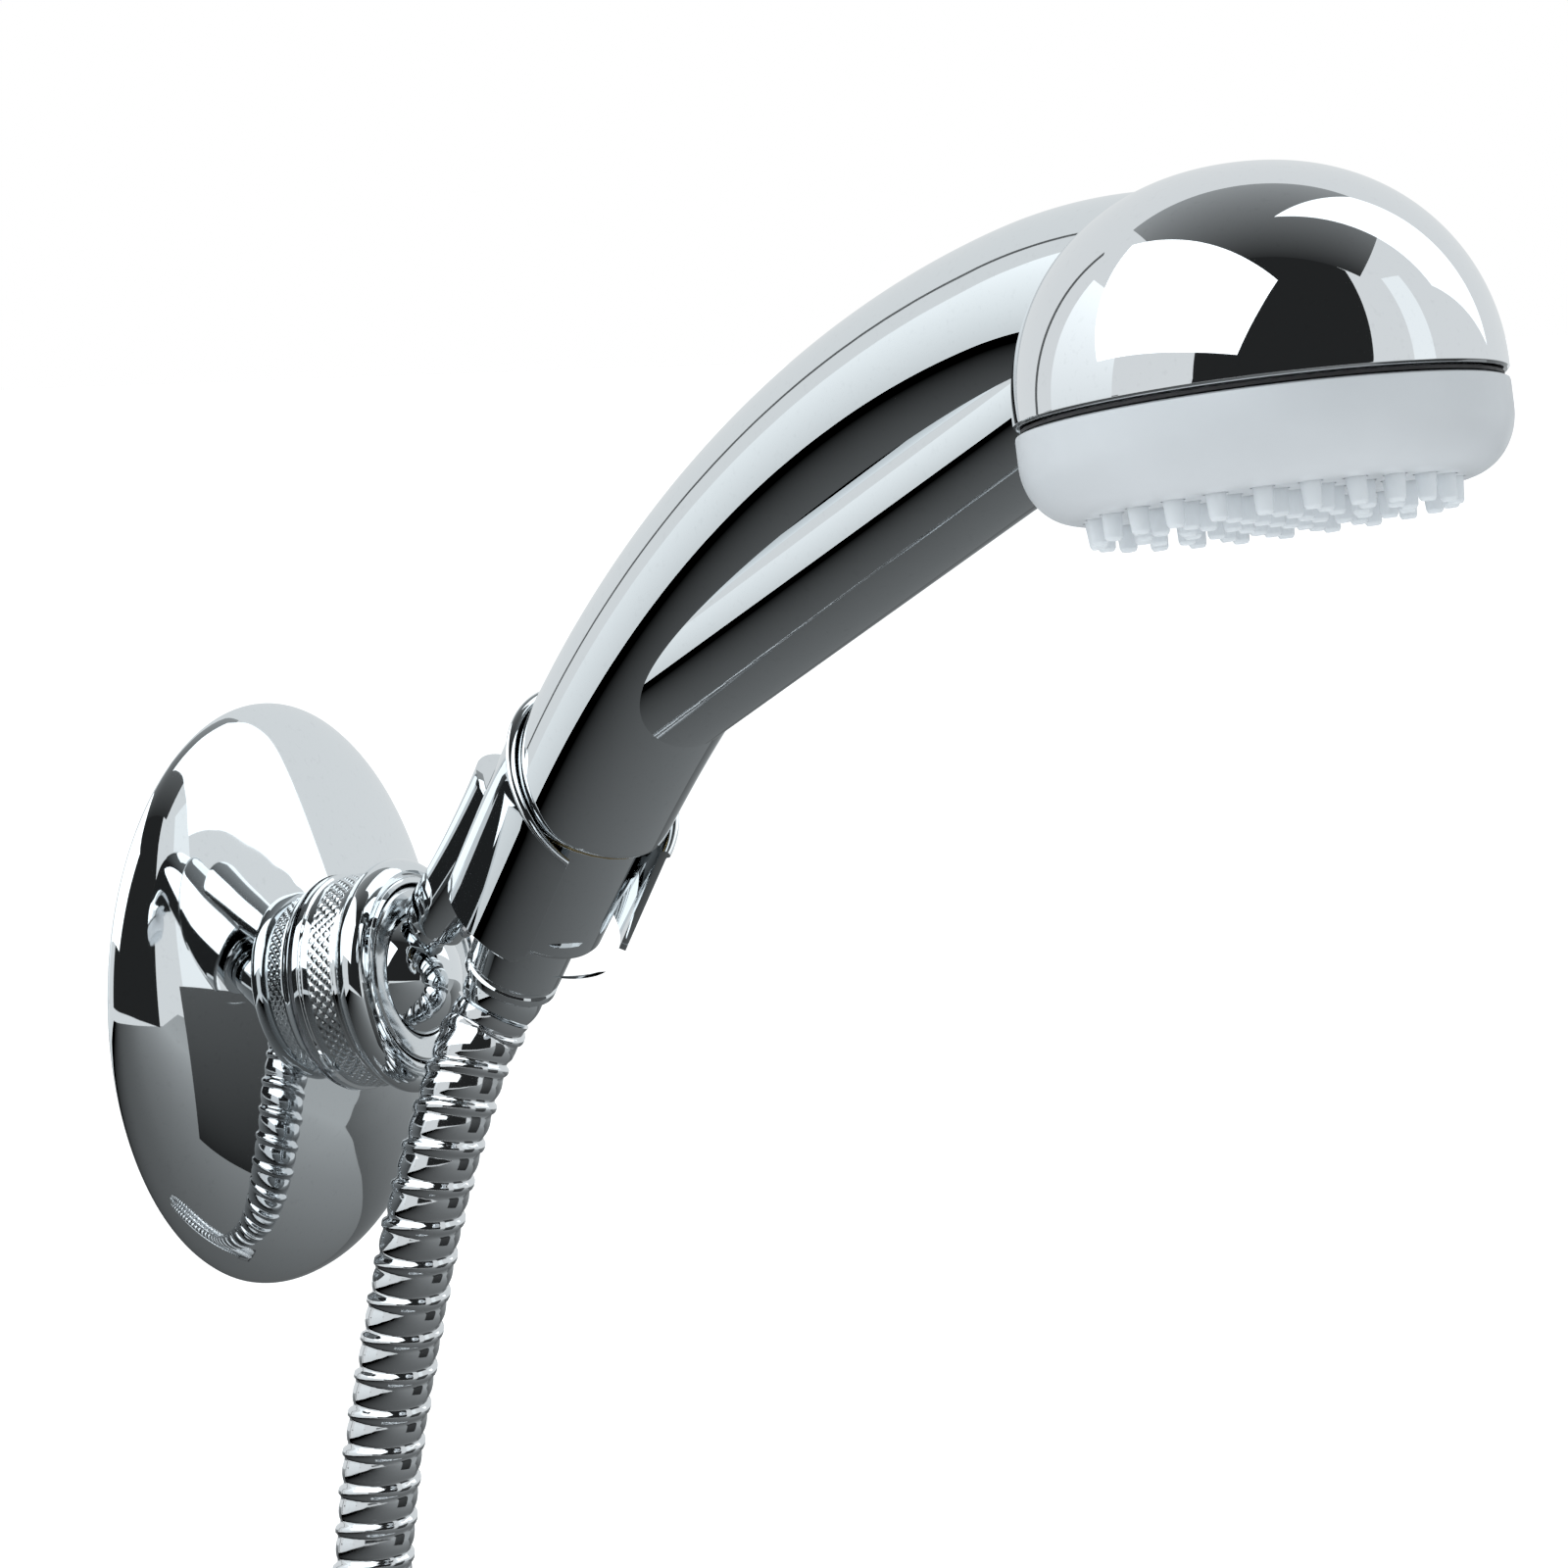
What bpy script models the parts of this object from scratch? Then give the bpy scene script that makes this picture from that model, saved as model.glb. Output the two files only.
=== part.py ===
"""Chrome hand shower in a ball-jointed wall holder, with its metal hose.

Metres, +Z up. The wall is the plane Y = 0 and the object stands out of it along -Y.
The origin is the centre of the wall plate's back face.
"""
import math

import bmesh
import bpy
from mathutils import Matrix, Vector

# ---- fits shared by all pieces ----
GAP = 0.0003              # running or seating gap between two pieces
THREAD_GAP = 0.0003       # radial gap where a thread would be

# ---- wall unit ----
SOCKET_TILT = math.radians(6.5)     # the ball socket looks this far upward
PLATE_RADIUS = 0.040
PLATE_THICKNESS = 0.005
PLATE_SCREW_CIRCLE = 0.030
PLATE_SCREW_HOLE = 0.0024
SCREW_COUNT = 3
BOSS_RADIUS = 0.0155                # outside of the boss under the collar's thread
BOSS_ROOT_RADIUS = 0.019
BOSS_ROOT_LENGTH = 0.012
BOSS_START = 0.0026                 # inside the plate all the way round, although the boss is tilted
BELL_RADIUS = 0.0503
BELL_WALL = 0.0012
BELL_HEIGHT = 0.0168                # from the wall to the bell's top edge, along the socket
BELL_TOP_RADIUS = 0.0190

# ---- ball socket ----
BALL_RADIUS = 0.0119
BALL_DISTANCE = 0.0262              # wall to ball centre, along the socket axis
MOUTH_DISTANCE = 0.0322             # wall to the flat face round the opening
COLLAR_LIP_RADIUS = 0.0186
COLLAR_BAND_RADIUS = 0.0182
COLLAR_BEAD_RADIUS = 0.0202
COLLAR_START = 0.0172
COLLAR_WALL = 0.0024
RETAINER_RADIUS = 0.0150
NECK_RADIUS = 0.0040
STUD_THREAD_RADIUS = 0.0038
STUD_LENGTH = 0.022                 # ball centre to the end of the stud

# ---- holder ----
HOLDER_BASE = Vector((-0.0044, -0.0579, 0.0144))    # centre of the sleeve's lower rim
HOLDER_HEADING = math.radians(21.7)                 # turned to the -X side of the wall's normal
HOLDER_RISE = math.radians(52.8)                    # sleeve axis above the horizontal
HOLDER_ROLL = math.radians(-1.7)
SLEEVE_RADIUS = 0.0162
SLEEVE_WALL = 0.0012
SLEEVE_LENGTH = 0.0286
SLEEVE_TOP_SLANT = 0.0078           # the rim is this much lower in front, higher behind
SLEEVE_FOOT_SLANT = 0.0008
SLOT_HALF_ANGLE = math.radians(40.0)
ARM_START_RADIUS = 0.0058
ARM_END_RADIUS = 0.0098
ARM_HEIGHT = 0.0150                 # where the arm meets the sleeve's back
GRUB_RADIUS = 0.0020

# ---- hose end inside the holder ----
NUT_TOP = 0.0232
NUT_FOOT = -0.0004
NUT_TOP_RADIUS = 0.0124
NUT_FOOT_RADIUS = 0.0117
NUT_FLOOR = 0.0030
NUT_BORE = 0.0104
NIPPLE_RADIUS = 0.0050
NIPPLE_BORE = 0.0032
NIPPLE_FLANGE_RADIUS = 0.0086
NIPPLE_FLANGE = 0.0022
WASHER_THICKNESS = 0.0020
FERRULE_FOOT = -0.0140
FERRULE_TOP_RADIUS = 0.0084
FERRULE_FOOT_RADIUS = 0.0082
HOSE_BALL_RADIUS = 0.0070
HOSE_BALL_DROP = 0.0032             # ball centre below the ferrule's edge

# ---- hose, 1.25 m from the holder to the tap ----
HOSE_RADIUS = 0.0070
HOSE_BORE = 0.0032
HOSE_HANG = Vector((-0.20, 0.45, -0.87))     # the way the hose leaves its ball end
# route of the hanging stretch after the ball end, down to the coil
HOSE_ROUTE = (
    (-0.0041, -0.0435, -0.0096), (-0.0078, -0.0404, -0.0216), (-0.0094, -0.0365, -0.0344),
    (-0.0094, -0.0323, -0.0486), (-0.0091, -0.0285, -0.0626), (-0.0090, -0.0248, -0.0779),
    (-0.0090, -0.0219, -0.0960), (-0.0104, -0.0203, -0.1160), (-0.0150, -0.0200, -0.1300),
    (-0.0228, -0.0200, -0.1440), (-0.0326, -0.0200, -0.1562), (-0.0453, -0.0200, -0.1708),
    (-0.0581, -0.0200, -0.1856))
COIL_RADIUS = 0.0720                # middle of the turns, about 10 hose diameters across
COIL_CENTRE = Vector((-0.0038, -0.0340, -0.2328))
COIL_LAYERS = 3                     # strands side by side where the hose joins and leaves
TAIL_ROUTE = (
    (-0.0581, -0.0480, -0.1856), (-0.0649, -0.0480, -0.1933), (-0.0714, -0.0480, -0.2014),
    (-0.0774, -0.0480, -0.2098), (-0.0827, -0.0480, -0.2187), (-0.0871, -0.0480, -0.2281),
    (-0.0906, -0.0480, -0.2379), (-0.0930, -0.0480, -0.2481), (-0.0944, -0.0480, -0.2584),
    (-0.0950, -0.0480, -0.2688))
TIE_ANGLE = math.radians(20)
TIE_WIDTH = 0.0080
TIE_THICKNESS = 0.0010
TAP_NUT_ACROSS_FLATS = 0.0240
TAP_NUT_LENGTH = 0.0135
TAP_NUT_BORE = 0.0104
TAP_FERRULE_LENGTH = 0.0140
TAP_FERRULE_RADIUS = 0.0083

# ---- handset ----
INSERT_FOOT = 0.0108                # lower end of the threaded insert
INSERT_BORE = 0.0046
INSERT_PLUG_LENGTH = 0.012
HANDLE_FOOT = 0.0245                # lower end of the handle, above the sleeve's lower rim
HANDLE_FOOT_RADIUS = 0.01465
HANDLE_RADIUS = 0.0153
HANDLE_WALL = 0.0020
HANDLE_EDGE = 0.0006                # chamfer of the handle's lower end
HANDLE_BEND_START = 0.0200
# arcs of the handle's centre line: radius, and the direction each one ends in
HANDLE_BENDS = ((0.2250, math.radians(38.5)), (0.1200, math.radians(58.0)))
PIPE_BEND = 0.0103                  # tight bend from the handle down into the distributor
PIPE_RADIUS = 0.0060
PIPE_WALL = 0.0012
HEAD_HEIGHT = 0.1803                # head centre along the sleeve axis
HEAD_REACH = 0.0974                 # head centre in front of the sleeve axis
HEAD_ANGLE = math.radians(134.7)    # spray direction against the sleeve axis
HEAD_RADIUS = 0.0372
DOME_HEIGHT = 0.0355
DOME_WALL = 0.0020
SEAM = 0.0009                       # visible joint between dome and spray face
FACE_DEPTH = 0.0145
FACE_WALL = 0.0022
FACE_EDGE_HEIGHT = 0.0095           # rounding between the face's side and its flat
FACE_EDGE_WIDTH = 0.0081
MAT_FRONT = FACE_DEPTH - FACE_WALL - GAP
CHAMBER_BACK = 0.0067               # seam to the back of the water chamber
NOZZLE_RADIUS = 0.0014
NOZZLE_LENGTH = 0.0030
NOZZLE_RINGS = ((0.0, 1), (0.0072, 6), (0.0138, 12), (0.0204, 16), (0.0268, 20))
MAT_THICKNESS = 0.0014

ROUND = 40                          # sides of a large round piece
SMALL_ROUND = 20                    # sides of a small round piece


# ---------------------------------------------------------------- scene and materials

def clear_scene():
    for old in list(bpy.data.objects):
        bpy.data.objects.remove(old, do_unlink=True)


def material(name, colour, roughness, metallic):
    mat = bpy.data.materials.new(name)
    mat.use_nodes = True
    shader = mat.node_tree.nodes["Principled BSDF"]
    shader.inputs["Base Color"].default_value = (*colour, 1.0)
    shader.inputs["Roughness"].default_value = roughness
    shader.inputs["Metallic"].default_value = metallic
    return mat


FINISHES = {
    "chrome": ((0.80, 0.82, 0.84), 0.05, 1.0),
    "brass": ((0.72, 0.55, 0.25), 0.30, 1.0),
    "steel": ((0.60, 0.61, 0.63), 0.30, 1.0),
    "nylon": ((0.62, 0.64, 0.66), 0.45, 0.0),
    "grey_plastic": ((0.58, 0.60, 0.63), 0.35, 0.0),
    "rubber": ((0.06, 0.06, 0.07), 0.70, 0.0),
    "silicone": ((0.66, 0.68, 0.71), 0.50, 0.0),
}


def frame_empty(name, matrix):
    empty = bpy.data.objects.new(name, None)
    empty.matrix_world = matrix
    bpy.context.collection.objects.link(empty)
    return empty


def finish_object(name, bm, finish, parent):
    """Turns a bmesh into a node with its own material, in its parent's frame."""
    bmesh.ops.remove_doubles(bm, verts=bm.verts, dist=1e-7)
    bmesh.ops.recalc_face_normals(bm, faces=bm.faces)
    mesh = bpy.data.meshes.new(name)
    bm.to_mesh(mesh)
    bm.free()
    mesh.shade_smooth()
    mesh.set_sharp_from_angle(angle=math.radians(35))
    obj = bpy.data.objects.new(name, mesh)
    bpy.context.collection.objects.link(obj)
    obj.parent = parent
    if finish:
        mesh.materials.append(material(name, *FINISHES[finish]))
    return obj


def hide_cutter(obj):
    obj.hide_render = True
    obj.display_type = "WIRE"
    return obj


def boolean(target, other, operation="DIFFERENCE"):
    mod = target.modifiers.new(other.name, "BOOLEAN")
    mod.operation = operation
    mod.solver = "EXACT"
    mod.object = hide_cutter(other)


# ---------------------------------------------------------------- shape helpers

def spun(bm, outline, steps=ROUND, matrix=None):
    """Spins a closed (radius, height) outline round Z and adds the ring to bm."""
    matrix = matrix or Matrix.Identity(4)
    verts = [bm.verts.new((r, 0.0, z)) for r, z in outline]
    on_axis = outline[0][0] == 0.0 and outline[-1][0] == 0.0
    pairs = list(zip(verts, verts[1:]))
    if not on_axis:
        pairs.append((verts[-1], verts[0]))
    edges = [bm.edges.new(pair) for pair in pairs]
    bmesh.ops.spin(bm, geom=verts + edges, cent=(0, 0, 0), axis=(0, 0, 1),
                   angle=math.tau, steps=steps, use_merge=True)
    bmesh.ops.remove_doubles(bm, verts=bm.verts, dist=1e-7)
    if matrix != Matrix.Identity(4):
        bm.transform(matrix)


def turned(name, outline, finish, parent, steps=ROUND, matrix=None):
    bm = bmesh.new()
    spun(bm, outline, steps, matrix)
    return finish_object(name, bm, finish, parent)


def arc(centre, radius, start, end, steps):
    """Points of an arc in the (radius, height) plane, angles in degrees from +radius."""
    points = []
    for i in range(steps + 1):
        a = math.radians(start + (end - start) * i / steps)
        points.append((centre[0] + radius * math.cos(a), centre[1] + radius * math.sin(a)))
    return points


def loft(bm, rings, steps):
    """Joins circles given as (matrix, radius) into a closed skin with flat ends."""
    loops = []
    for matrix, radius in rings:
        circle = bmesh.ops.create_circle(bm, segments=steps, radius=radius, matrix=matrix)
        loops.append(circle["verts"])
    for low, high in zip(loops, loops[1:]):
        for i in range(steps):
            j = (i + 1) % steps
            bm.faces.new((low[i], low[j], high[j], high[i]))
    return loops


def rod(name, rings, finish, parent, steps=ROUND):
    bm = bmesh.new()
    loops = loft(bm, rings, steps)
    bm.faces.new(loops[0])
    bm.faces.new(loops[-1])
    return finish_object(name, bm, finish, parent)


def pipe(name, rings, wall, finish, parent, steps=ROUND):
    """A lofted tube with a constant wall and open ends."""
    bm = bmesh.new()
    outer = loft(bm, rings, steps)
    inner = loft(bm, [(m, r - wall) for m, r in rings], steps)
    for a, b in ((outer[0], inner[0]), (outer[-1], inner[-1])):
        for i in range(steps):
            j = (i + 1) % steps
            bm.faces.new((a[i], a[j], b[j], b[i]))
    return finish_object(name, bm, finish, parent)


def wedge(name, half_angle, radius, low, high, parent, reach=3.0):
    """A cutter for a slot that opens towards -Y, its edges on rays from the axis."""
    bm = bmesh.new()
    far = radius * reach
    side = far * math.tan(half_angle)
    outline = [(0.0, 0.0), (side, -far), (-side, -far)]
    base = [bm.verts.new((x, y, low)) for x, y in outline]
    face = bm.faces.new(base)
    raised = bmesh.ops.extrude_face_region(bm, geom=[face])
    moved = [v for v in raised["geom"] if isinstance(v, bmesh.types.BMVert)]
    bmesh.ops.translate(bm, vec=(0, 0, high - low), verts=moved)
    return hide_cutter(finish_object(name, bm, None, parent))


def axis_matrix(origin, direction, side=Vector((1, 0, 0))):
    """A frame at origin whose Z runs along direction and whose X leans to side."""
    z = Vector(direction).normalized()
    x = (side - z * side.dot(z)).normalized()
    y = z.cross(x)
    rotation = Matrix((x, y, z)).transposed().to_4x4()
    return Matrix.Translation(origin) @ rotation


# ---------------------------------------------------------------- frames of the assembly

def socket_frame():
    return Matrix.Rotation(math.radians(90) - SOCKET_TILT, 4, "X")


def holder_frame():
    """Z along the sleeve, -Y to the slot in front, origin at the sleeve's lower rim."""
    heading = Matrix.Rotation(-HOLDER_HEADING, 4, "Z")
    rise = Matrix.Rotation(math.radians(90) - HOLDER_RISE, 4, "X")
    roll = Matrix.Rotation(HOLDER_ROLL, 4, "Z")
    return Matrix.Translation(HOLDER_BASE) @ heading @ rise @ roll


def along(bends, distance):
    """Frame on a path of arcs (radius, final angle), straight before the first and after the last."""
    y, z, angle = 0.0, HANDLE_BEND_START, 0.0
    if distance < 0:
        return Matrix.Translation((0, 0, z + distance))
    for radius, final in bends:
        step = min(distance, radius * (final - angle))
        turned_to = angle + step / radius
        y -= radius * (math.cos(angle) - math.cos(turned_to))
        z += radius * (math.sin(turned_to) - math.sin(angle))
        angle = turned_to
        distance -= step
    y -= distance * math.sin(angle)
    z += distance * math.cos(angle)
    return Matrix.Translation((0, y, z)) @ Matrix.Rotation(angle, 4, "X")


def arcs_length(bends):
    total, angle = 0.0, 0.0
    for radius, final in bends:
        total += radius * (final - angle)
        angle = final
    return total


def head_frame():
    """Z is the spray direction, origin at the centre of the seam."""
    point = Matrix.Translation((0, -HEAD_REACH, HEAD_HEIGHT))
    return point @ Matrix.Rotation(HEAD_ANGLE, 4, "X")


# ---------------------------------------------------------------- wall unit

def build_wall_unit(wall, socket):
    plate = bmesh.new()
    face_out = Matrix.Rotation(math.radians(90), 4, "X")
    rim = 0.0006
    spun(plate, [(0, 0), (PLATE_RADIUS, 0), (PLATE_RADIUS, PLATE_THICKNESS - rim),
                 (PLATE_RADIUS - rim, PLATE_THICKNESS), (0, PLATE_THICKNESS)], 32, face_out)
    plate = finish_object("wall_plate", plate, "steel", wall)

    seat_radius = BALL_RADIUS + 0.0016
    seat_depth = 0.0110
    boss_end = BALL_DISTANCE - 0.0006
    boss = turned("boss_shape", [
        (0, BOSS_START), (BOSS_ROOT_RADIUS, BOSS_START),
        (BOSS_ROOT_RADIUS, BOSS_ROOT_LENGTH - 0.002), (BOSS_RADIUS, BOSS_ROOT_LENGTH),
        (BOSS_RADIUS, boss_end), (seat_radius, boss_end),
        (seat_radius, BALL_DISTANCE - seat_depth - 0.0012),
        (0, BALL_DISTANCE - seat_depth - 0.0012)], None, socket, 28)
    boolean(plate, boss, "UNION")

    for i in range(SCREW_COUNT):
        a = math.radians(90 + 360 * i / SCREW_COUNT)
        place = Matrix.Translation((PLATE_SCREW_CIRCLE * math.cos(a), 0,
                                    PLATE_SCREW_CIRCLE * math.sin(a))) @ face_out
        hole = turned(f"screw_hole_{i + 1}", [(0, -0.001), (PLATE_SCREW_HOLE, -0.001),
                      (PLATE_SCREW_HOLE, PLATE_THICKNESS + 0.001), (0, PLATE_THICKNESS + 0.001)],
                      None, wall, SMALL_ROUND, place)
        boolean(plate, hole)
        shank = PLATE_SCREW_HOLE - GAP
        seat = PLATE_THICKNESS + GAP
        turned(f"wall_screw_{i + 1}", [
            (0, 0.0004), (shank, 0.0004), (shank, seat), (0.0041, seat), (0.0041, seat + 0.0008),
            (0.0032, seat + 0.0022), (0.0012, seat + 0.0026), (0.0012, seat + 0.0012),
            (0, seat + 0.0012)], "steel", wall, 12, place)

    build_bell(wall)

    inner = BALL_RADIUS + GAP
    cup_out = seat_radius - GAP
    floor = BALL_DISTANCE - seat_depth
    cup = [(0.0040, floor - 0.0008), (cup_out, floor - 0.0008), (cup_out, BALL_DISTANCE - 0.0010)]
    cup += arc((0, BALL_DISTANCE), inner, -5, -70, 7)
    turned("rear_seat", cup, "nylon", socket, 24)


def build_bell(wall):
    """The bell's rings start flat on the wall and lean over to the socket's axis."""
    steps = 40
    # share of the height, and radius between the rim and the top edge
    shape = [(0.00, 0.985), (0.035, 1.0), (0.12, 0.992), (0.25, 0.955), (0.40, 0.885),
             (0.55, 0.785), (0.70, 0.655), (0.83, 0.525), (0.93, 0.425), (1.00, 0.372)]

    def ring(share, radius):
        lean = SOCKET_TILT * share
        height = BELL_HEIGHT * share
        centre = Vector((0, -height * math.cos(lean), height * math.sin(lean)))
        return Matrix.Translation(centre) @ Matrix.Rotation(math.radians(90) - lean, 4, "X"), radius

    bm = bmesh.new()
    outer = loft(bm, [ring(s + 0.012, r * BELL_RADIUS) for s, r in shape], steps)
    inner = loft(bm, [ring(max(s - 0.075, 0.012), r * BELL_RADIUS - BELL_WALL) for s, r in shape], steps)
    for a, b in ((outer[0], inner[0]), (outer[-1], inner[-1])):
        for i in range(steps):
            j = (i + 1) % steps
            bm.faces.new((a[i], a[j], b[j], b[i]))
    return finish_object("bell_flange", bm, "chrome", wall)


# ---------------------------------------------------------------- ball socket

def build_collar(socket):
    bore = BOSS_RADIUS + THREAD_GAP
    start = COLLAR_START + GAP
    band = COLLAR_BAND_RADIUS
    bead_low, bead_high = 0.0262, 0.0318
    bead = (bead_low + bead_high) / 2
    retainer_bore = RETAINER_RADIUS + THREAD_GAP
    outline = [(bore, start), (COLLAR_LIP_RADIUS - 0.0004, start), (COLLAR_LIP_RADIUS, start + 0.0004),
               (COLLAR_LIP_RADIUS, start + 0.0011), (band, start + 0.0016), (band, bead_low - 0.0006),
               (band - 0.0008, bead_low - 0.0003), (band - 0.0008, bead_low)]
    half = (bead_high - bead_low) / 2
    reach = COLLAR_BEAD_RADIUS - band + 0.0008
    for i in range(7):
        a = math.radians(-90 + 180 * i / 6)
        outline.append((band - 0.0008 + reach * math.cos(a), bead + half * math.sin(a)))
    outline += [(retainer_bore + 0.0010, bead_high), (retainer_bore, bead_high - 0.0004),
                (retainer_bore, BALL_DISTANCE + 0.0012), (bore, BALL_DISTANCE + 0.0008)]
    turned("collar_nut", outline, "chrome", socket, 36)

    low = BALL_DISTANCE + 0.0030
    seat_top = MOUTH_DISTANCE - 0.0010
    inner = BALL_RADIUS + GAP
    # angle on the ball where the seat ring begins and ends
    a0 = math.degrees(math.asin((low - BALL_DISTANCE) / inner))
    a1 = math.degrees(math.asin((seat_top - 0.0012 - BALL_DISTANCE) / inner))
    seat = [(RETAINER_RADIUS - 0.0012, low)] + arc((0, BALL_DISTANCE), inner, a0, a1, 4)
    seat += [(RETAINER_RADIUS - 0.0012, seat_top - 0.0012)]
    turned("front_seat", seat, "nylon", socket, 28)

    # threaded ring with the flat face that is seen round the stem
    hold = RETAINER_RADIUS - 0.0012 + GAP
    shoulder = seat_top - 0.0012 + GAP
    b0 = math.degrees(math.asin((shoulder - BALL_DISTANCE) / inner))
    b1 = math.degrees(math.asin((MOUTH_DISTANCE - 0.0004 - BALL_DISTANCE) / inner))
    lip = arc((0, BALL_DISTANCE), inner + 0.0001, b1, b0, 3)
    turned("seat_retainer", [
        (RETAINER_RADIUS, BALL_DISTANCE + 0.0018), (RETAINER_RADIUS, MOUTH_DISTANCE - 0.0003),
        (RETAINER_RADIUS - 0.0003, MOUTH_DISTANCE), (lip[0][0] + 0.0004, MOUTH_DISTANCE), *lip,
        (hold, shoulder), (hold, BALL_DISTANCE + 0.0018)], "chrome", socket, 36)


def ball_centre():
    return socket_frame() @ Vector((0, 0, BALL_DISTANCE))


def arm_joint():
    """Where the arm's centre line meets the sleeve's back, in the row's frame."""
    return holder_frame() @ Vector((0, SLEEVE_RADIUS * 0.86, ARM_HEIGHT))


def stem_matrix():
    start = ball_centre()
    return axis_matrix(start, arm_joint() - start)


def build_stud(stem):
    flat = 0.0098
    neck_start = math.sqrt(BALL_RADIUS ** 2 - NECK_RADIUS ** 2)
    angle = math.degrees(math.acos(NECK_RADIUS / BALL_RADIUS))
    outline = [(0, -flat)] + arc((0, 0), BALL_RADIUS, -math.degrees(math.asin(flat / BALL_RADIUS)),
                                 angle, 10)
    outline += [(NECK_RADIUS, neck_start + 0.0016), (STUD_THREAD_RADIUS, neck_start + 0.0018),
                (STUD_THREAD_RADIUS, STUD_LENGTH - 0.0005), (STUD_THREAD_RADIUS - 0.0005, STUD_LENGTH),
                (0, STUD_LENGTH)]
    turned("ball_stud", outline, "chrome", stem, 24)


# ---------------------------------------------------------------- holder

def build_holder(hand, stem):
    inner = SLEEVE_RADIUS - SLEEVE_WALL
    steps = 48
    bm = bmesh.new()

    def rim(radius, height, slant, soften):
        """One slanted ring: lower in front (-Y), higher behind."""
        verts = []
        for i in range(steps):
            a = math.tau * i / steps
            y = math.sin(a)
            verts.append(bm.verts.new((radius * math.cos(a), radius * y, height + slant * y + soften)))
        return verts

    edge = 0.0004
    top, foot = SLEEVE_TOP_SLANT, SLEEVE_FOOT_SLANT
    loops = [
        rim(inner, 0, foot, edge), rim(inner + edge, 0, foot, 0),
        rim(SLEEVE_RADIUS - edge, 0, foot, 0), rim(SLEEVE_RADIUS, 0, foot, edge),
        rim(SLEEVE_RADIUS, SLEEVE_LENGTH, top, -0.0012), rim(SLEEVE_RADIUS + edge, SLEEVE_LENGTH, top, -0.0008),
        rim(SLEEVE_RADIUS + edge, SLEEVE_LENGTH, top, -0.0004), rim(SLEEVE_RADIUS, SLEEVE_LENGTH, top, 0),
        rim(inner + edge, SLEEVE_LENGTH, top, 0), rim(inner, SLEEVE_LENGTH, top, -edge)]
    loops.append(loops[0])
    for low, high in zip(loops, loops[1:]):
        for i in range(steps):
            j = (i + 1) % steps
            bm.faces.new((low[i], low[j], high[j], high[i]))
    holder = finish_object("holder", bm, "chrome", hand)

    # the arm: a stem that swells into the sleeve's back
    reach = (arm_joint() - ball_centre()).length
    start = BALL_RADIUS + 0.0016
    rings = []
    for i in range(9):
        t = i / 8
        radius = ARM_START_RADIUS + (ARM_END_RADIUS - ARM_START_RADIUS) * t ** 1.6
        rings.append((Matrix.Translation((0, 0, start + (reach - start) * t)), radius))
    arm = rod("arm_shape", rings, None, stem, 28)
    boolean(holder, arm, "UNION")

    bore = turned("sleeve_bore", [(0, -0.004), (inner - 0.00005, -0.004),
                                  (inner - 0.00005, 0.060), (0, 0.060)], None, hand, steps)
    boolean(holder, bore)
    slot = wedge("slot_cutter", SLOT_HALF_ANGLE, SLEEVE_RADIUS, -0.01, 0.06, hand)
    boolean(holder, slot)
    stud_bore = turned("stud_bore", [
        (0, start - 0.002), (STUD_THREAD_RADIUS + THREAD_GAP, start - 0.002),
        (STUD_THREAD_RADIUS + THREAD_GAP, STUD_LENGTH + 0.0005), (0, STUD_LENGTH + 0.0005)],
        None, stem, SMALL_ROUND)
    boolean(holder, stud_bore)

    # grub screw from below, against the stud's thread
    place = Matrix.Translation((0, 0, 0.0178)) @ Matrix.Rotation(math.radians(90), 4, "X")
    tip = STUD_THREAD_RADIUS + GAP
    grub_bore = turned("grub_bore", [(0, 0.001), (GRUB_RADIUS + THREAD_GAP, 0.001),
                                     (GRUB_RADIUS + THREAD_GAP, 0.02), (0, 0.02)],
                       None, stem, SMALL_ROUND, place)
    boolean(holder, grub_bore)
    socket_depth = 0.0010
    turned("grub_screw", [(0, tip), (GRUB_RADIUS, tip), (GRUB_RADIUS, tip + 0.0024),
                          (0.0010, tip + 0.0024), (0.0010, tip + 0.0024 - socket_depth),
                          (0, tip + 0.0024 - socket_depth)], "steel", stem, SMALL_ROUND, place)


# ---------------------------------------------------------------- hose end

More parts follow.
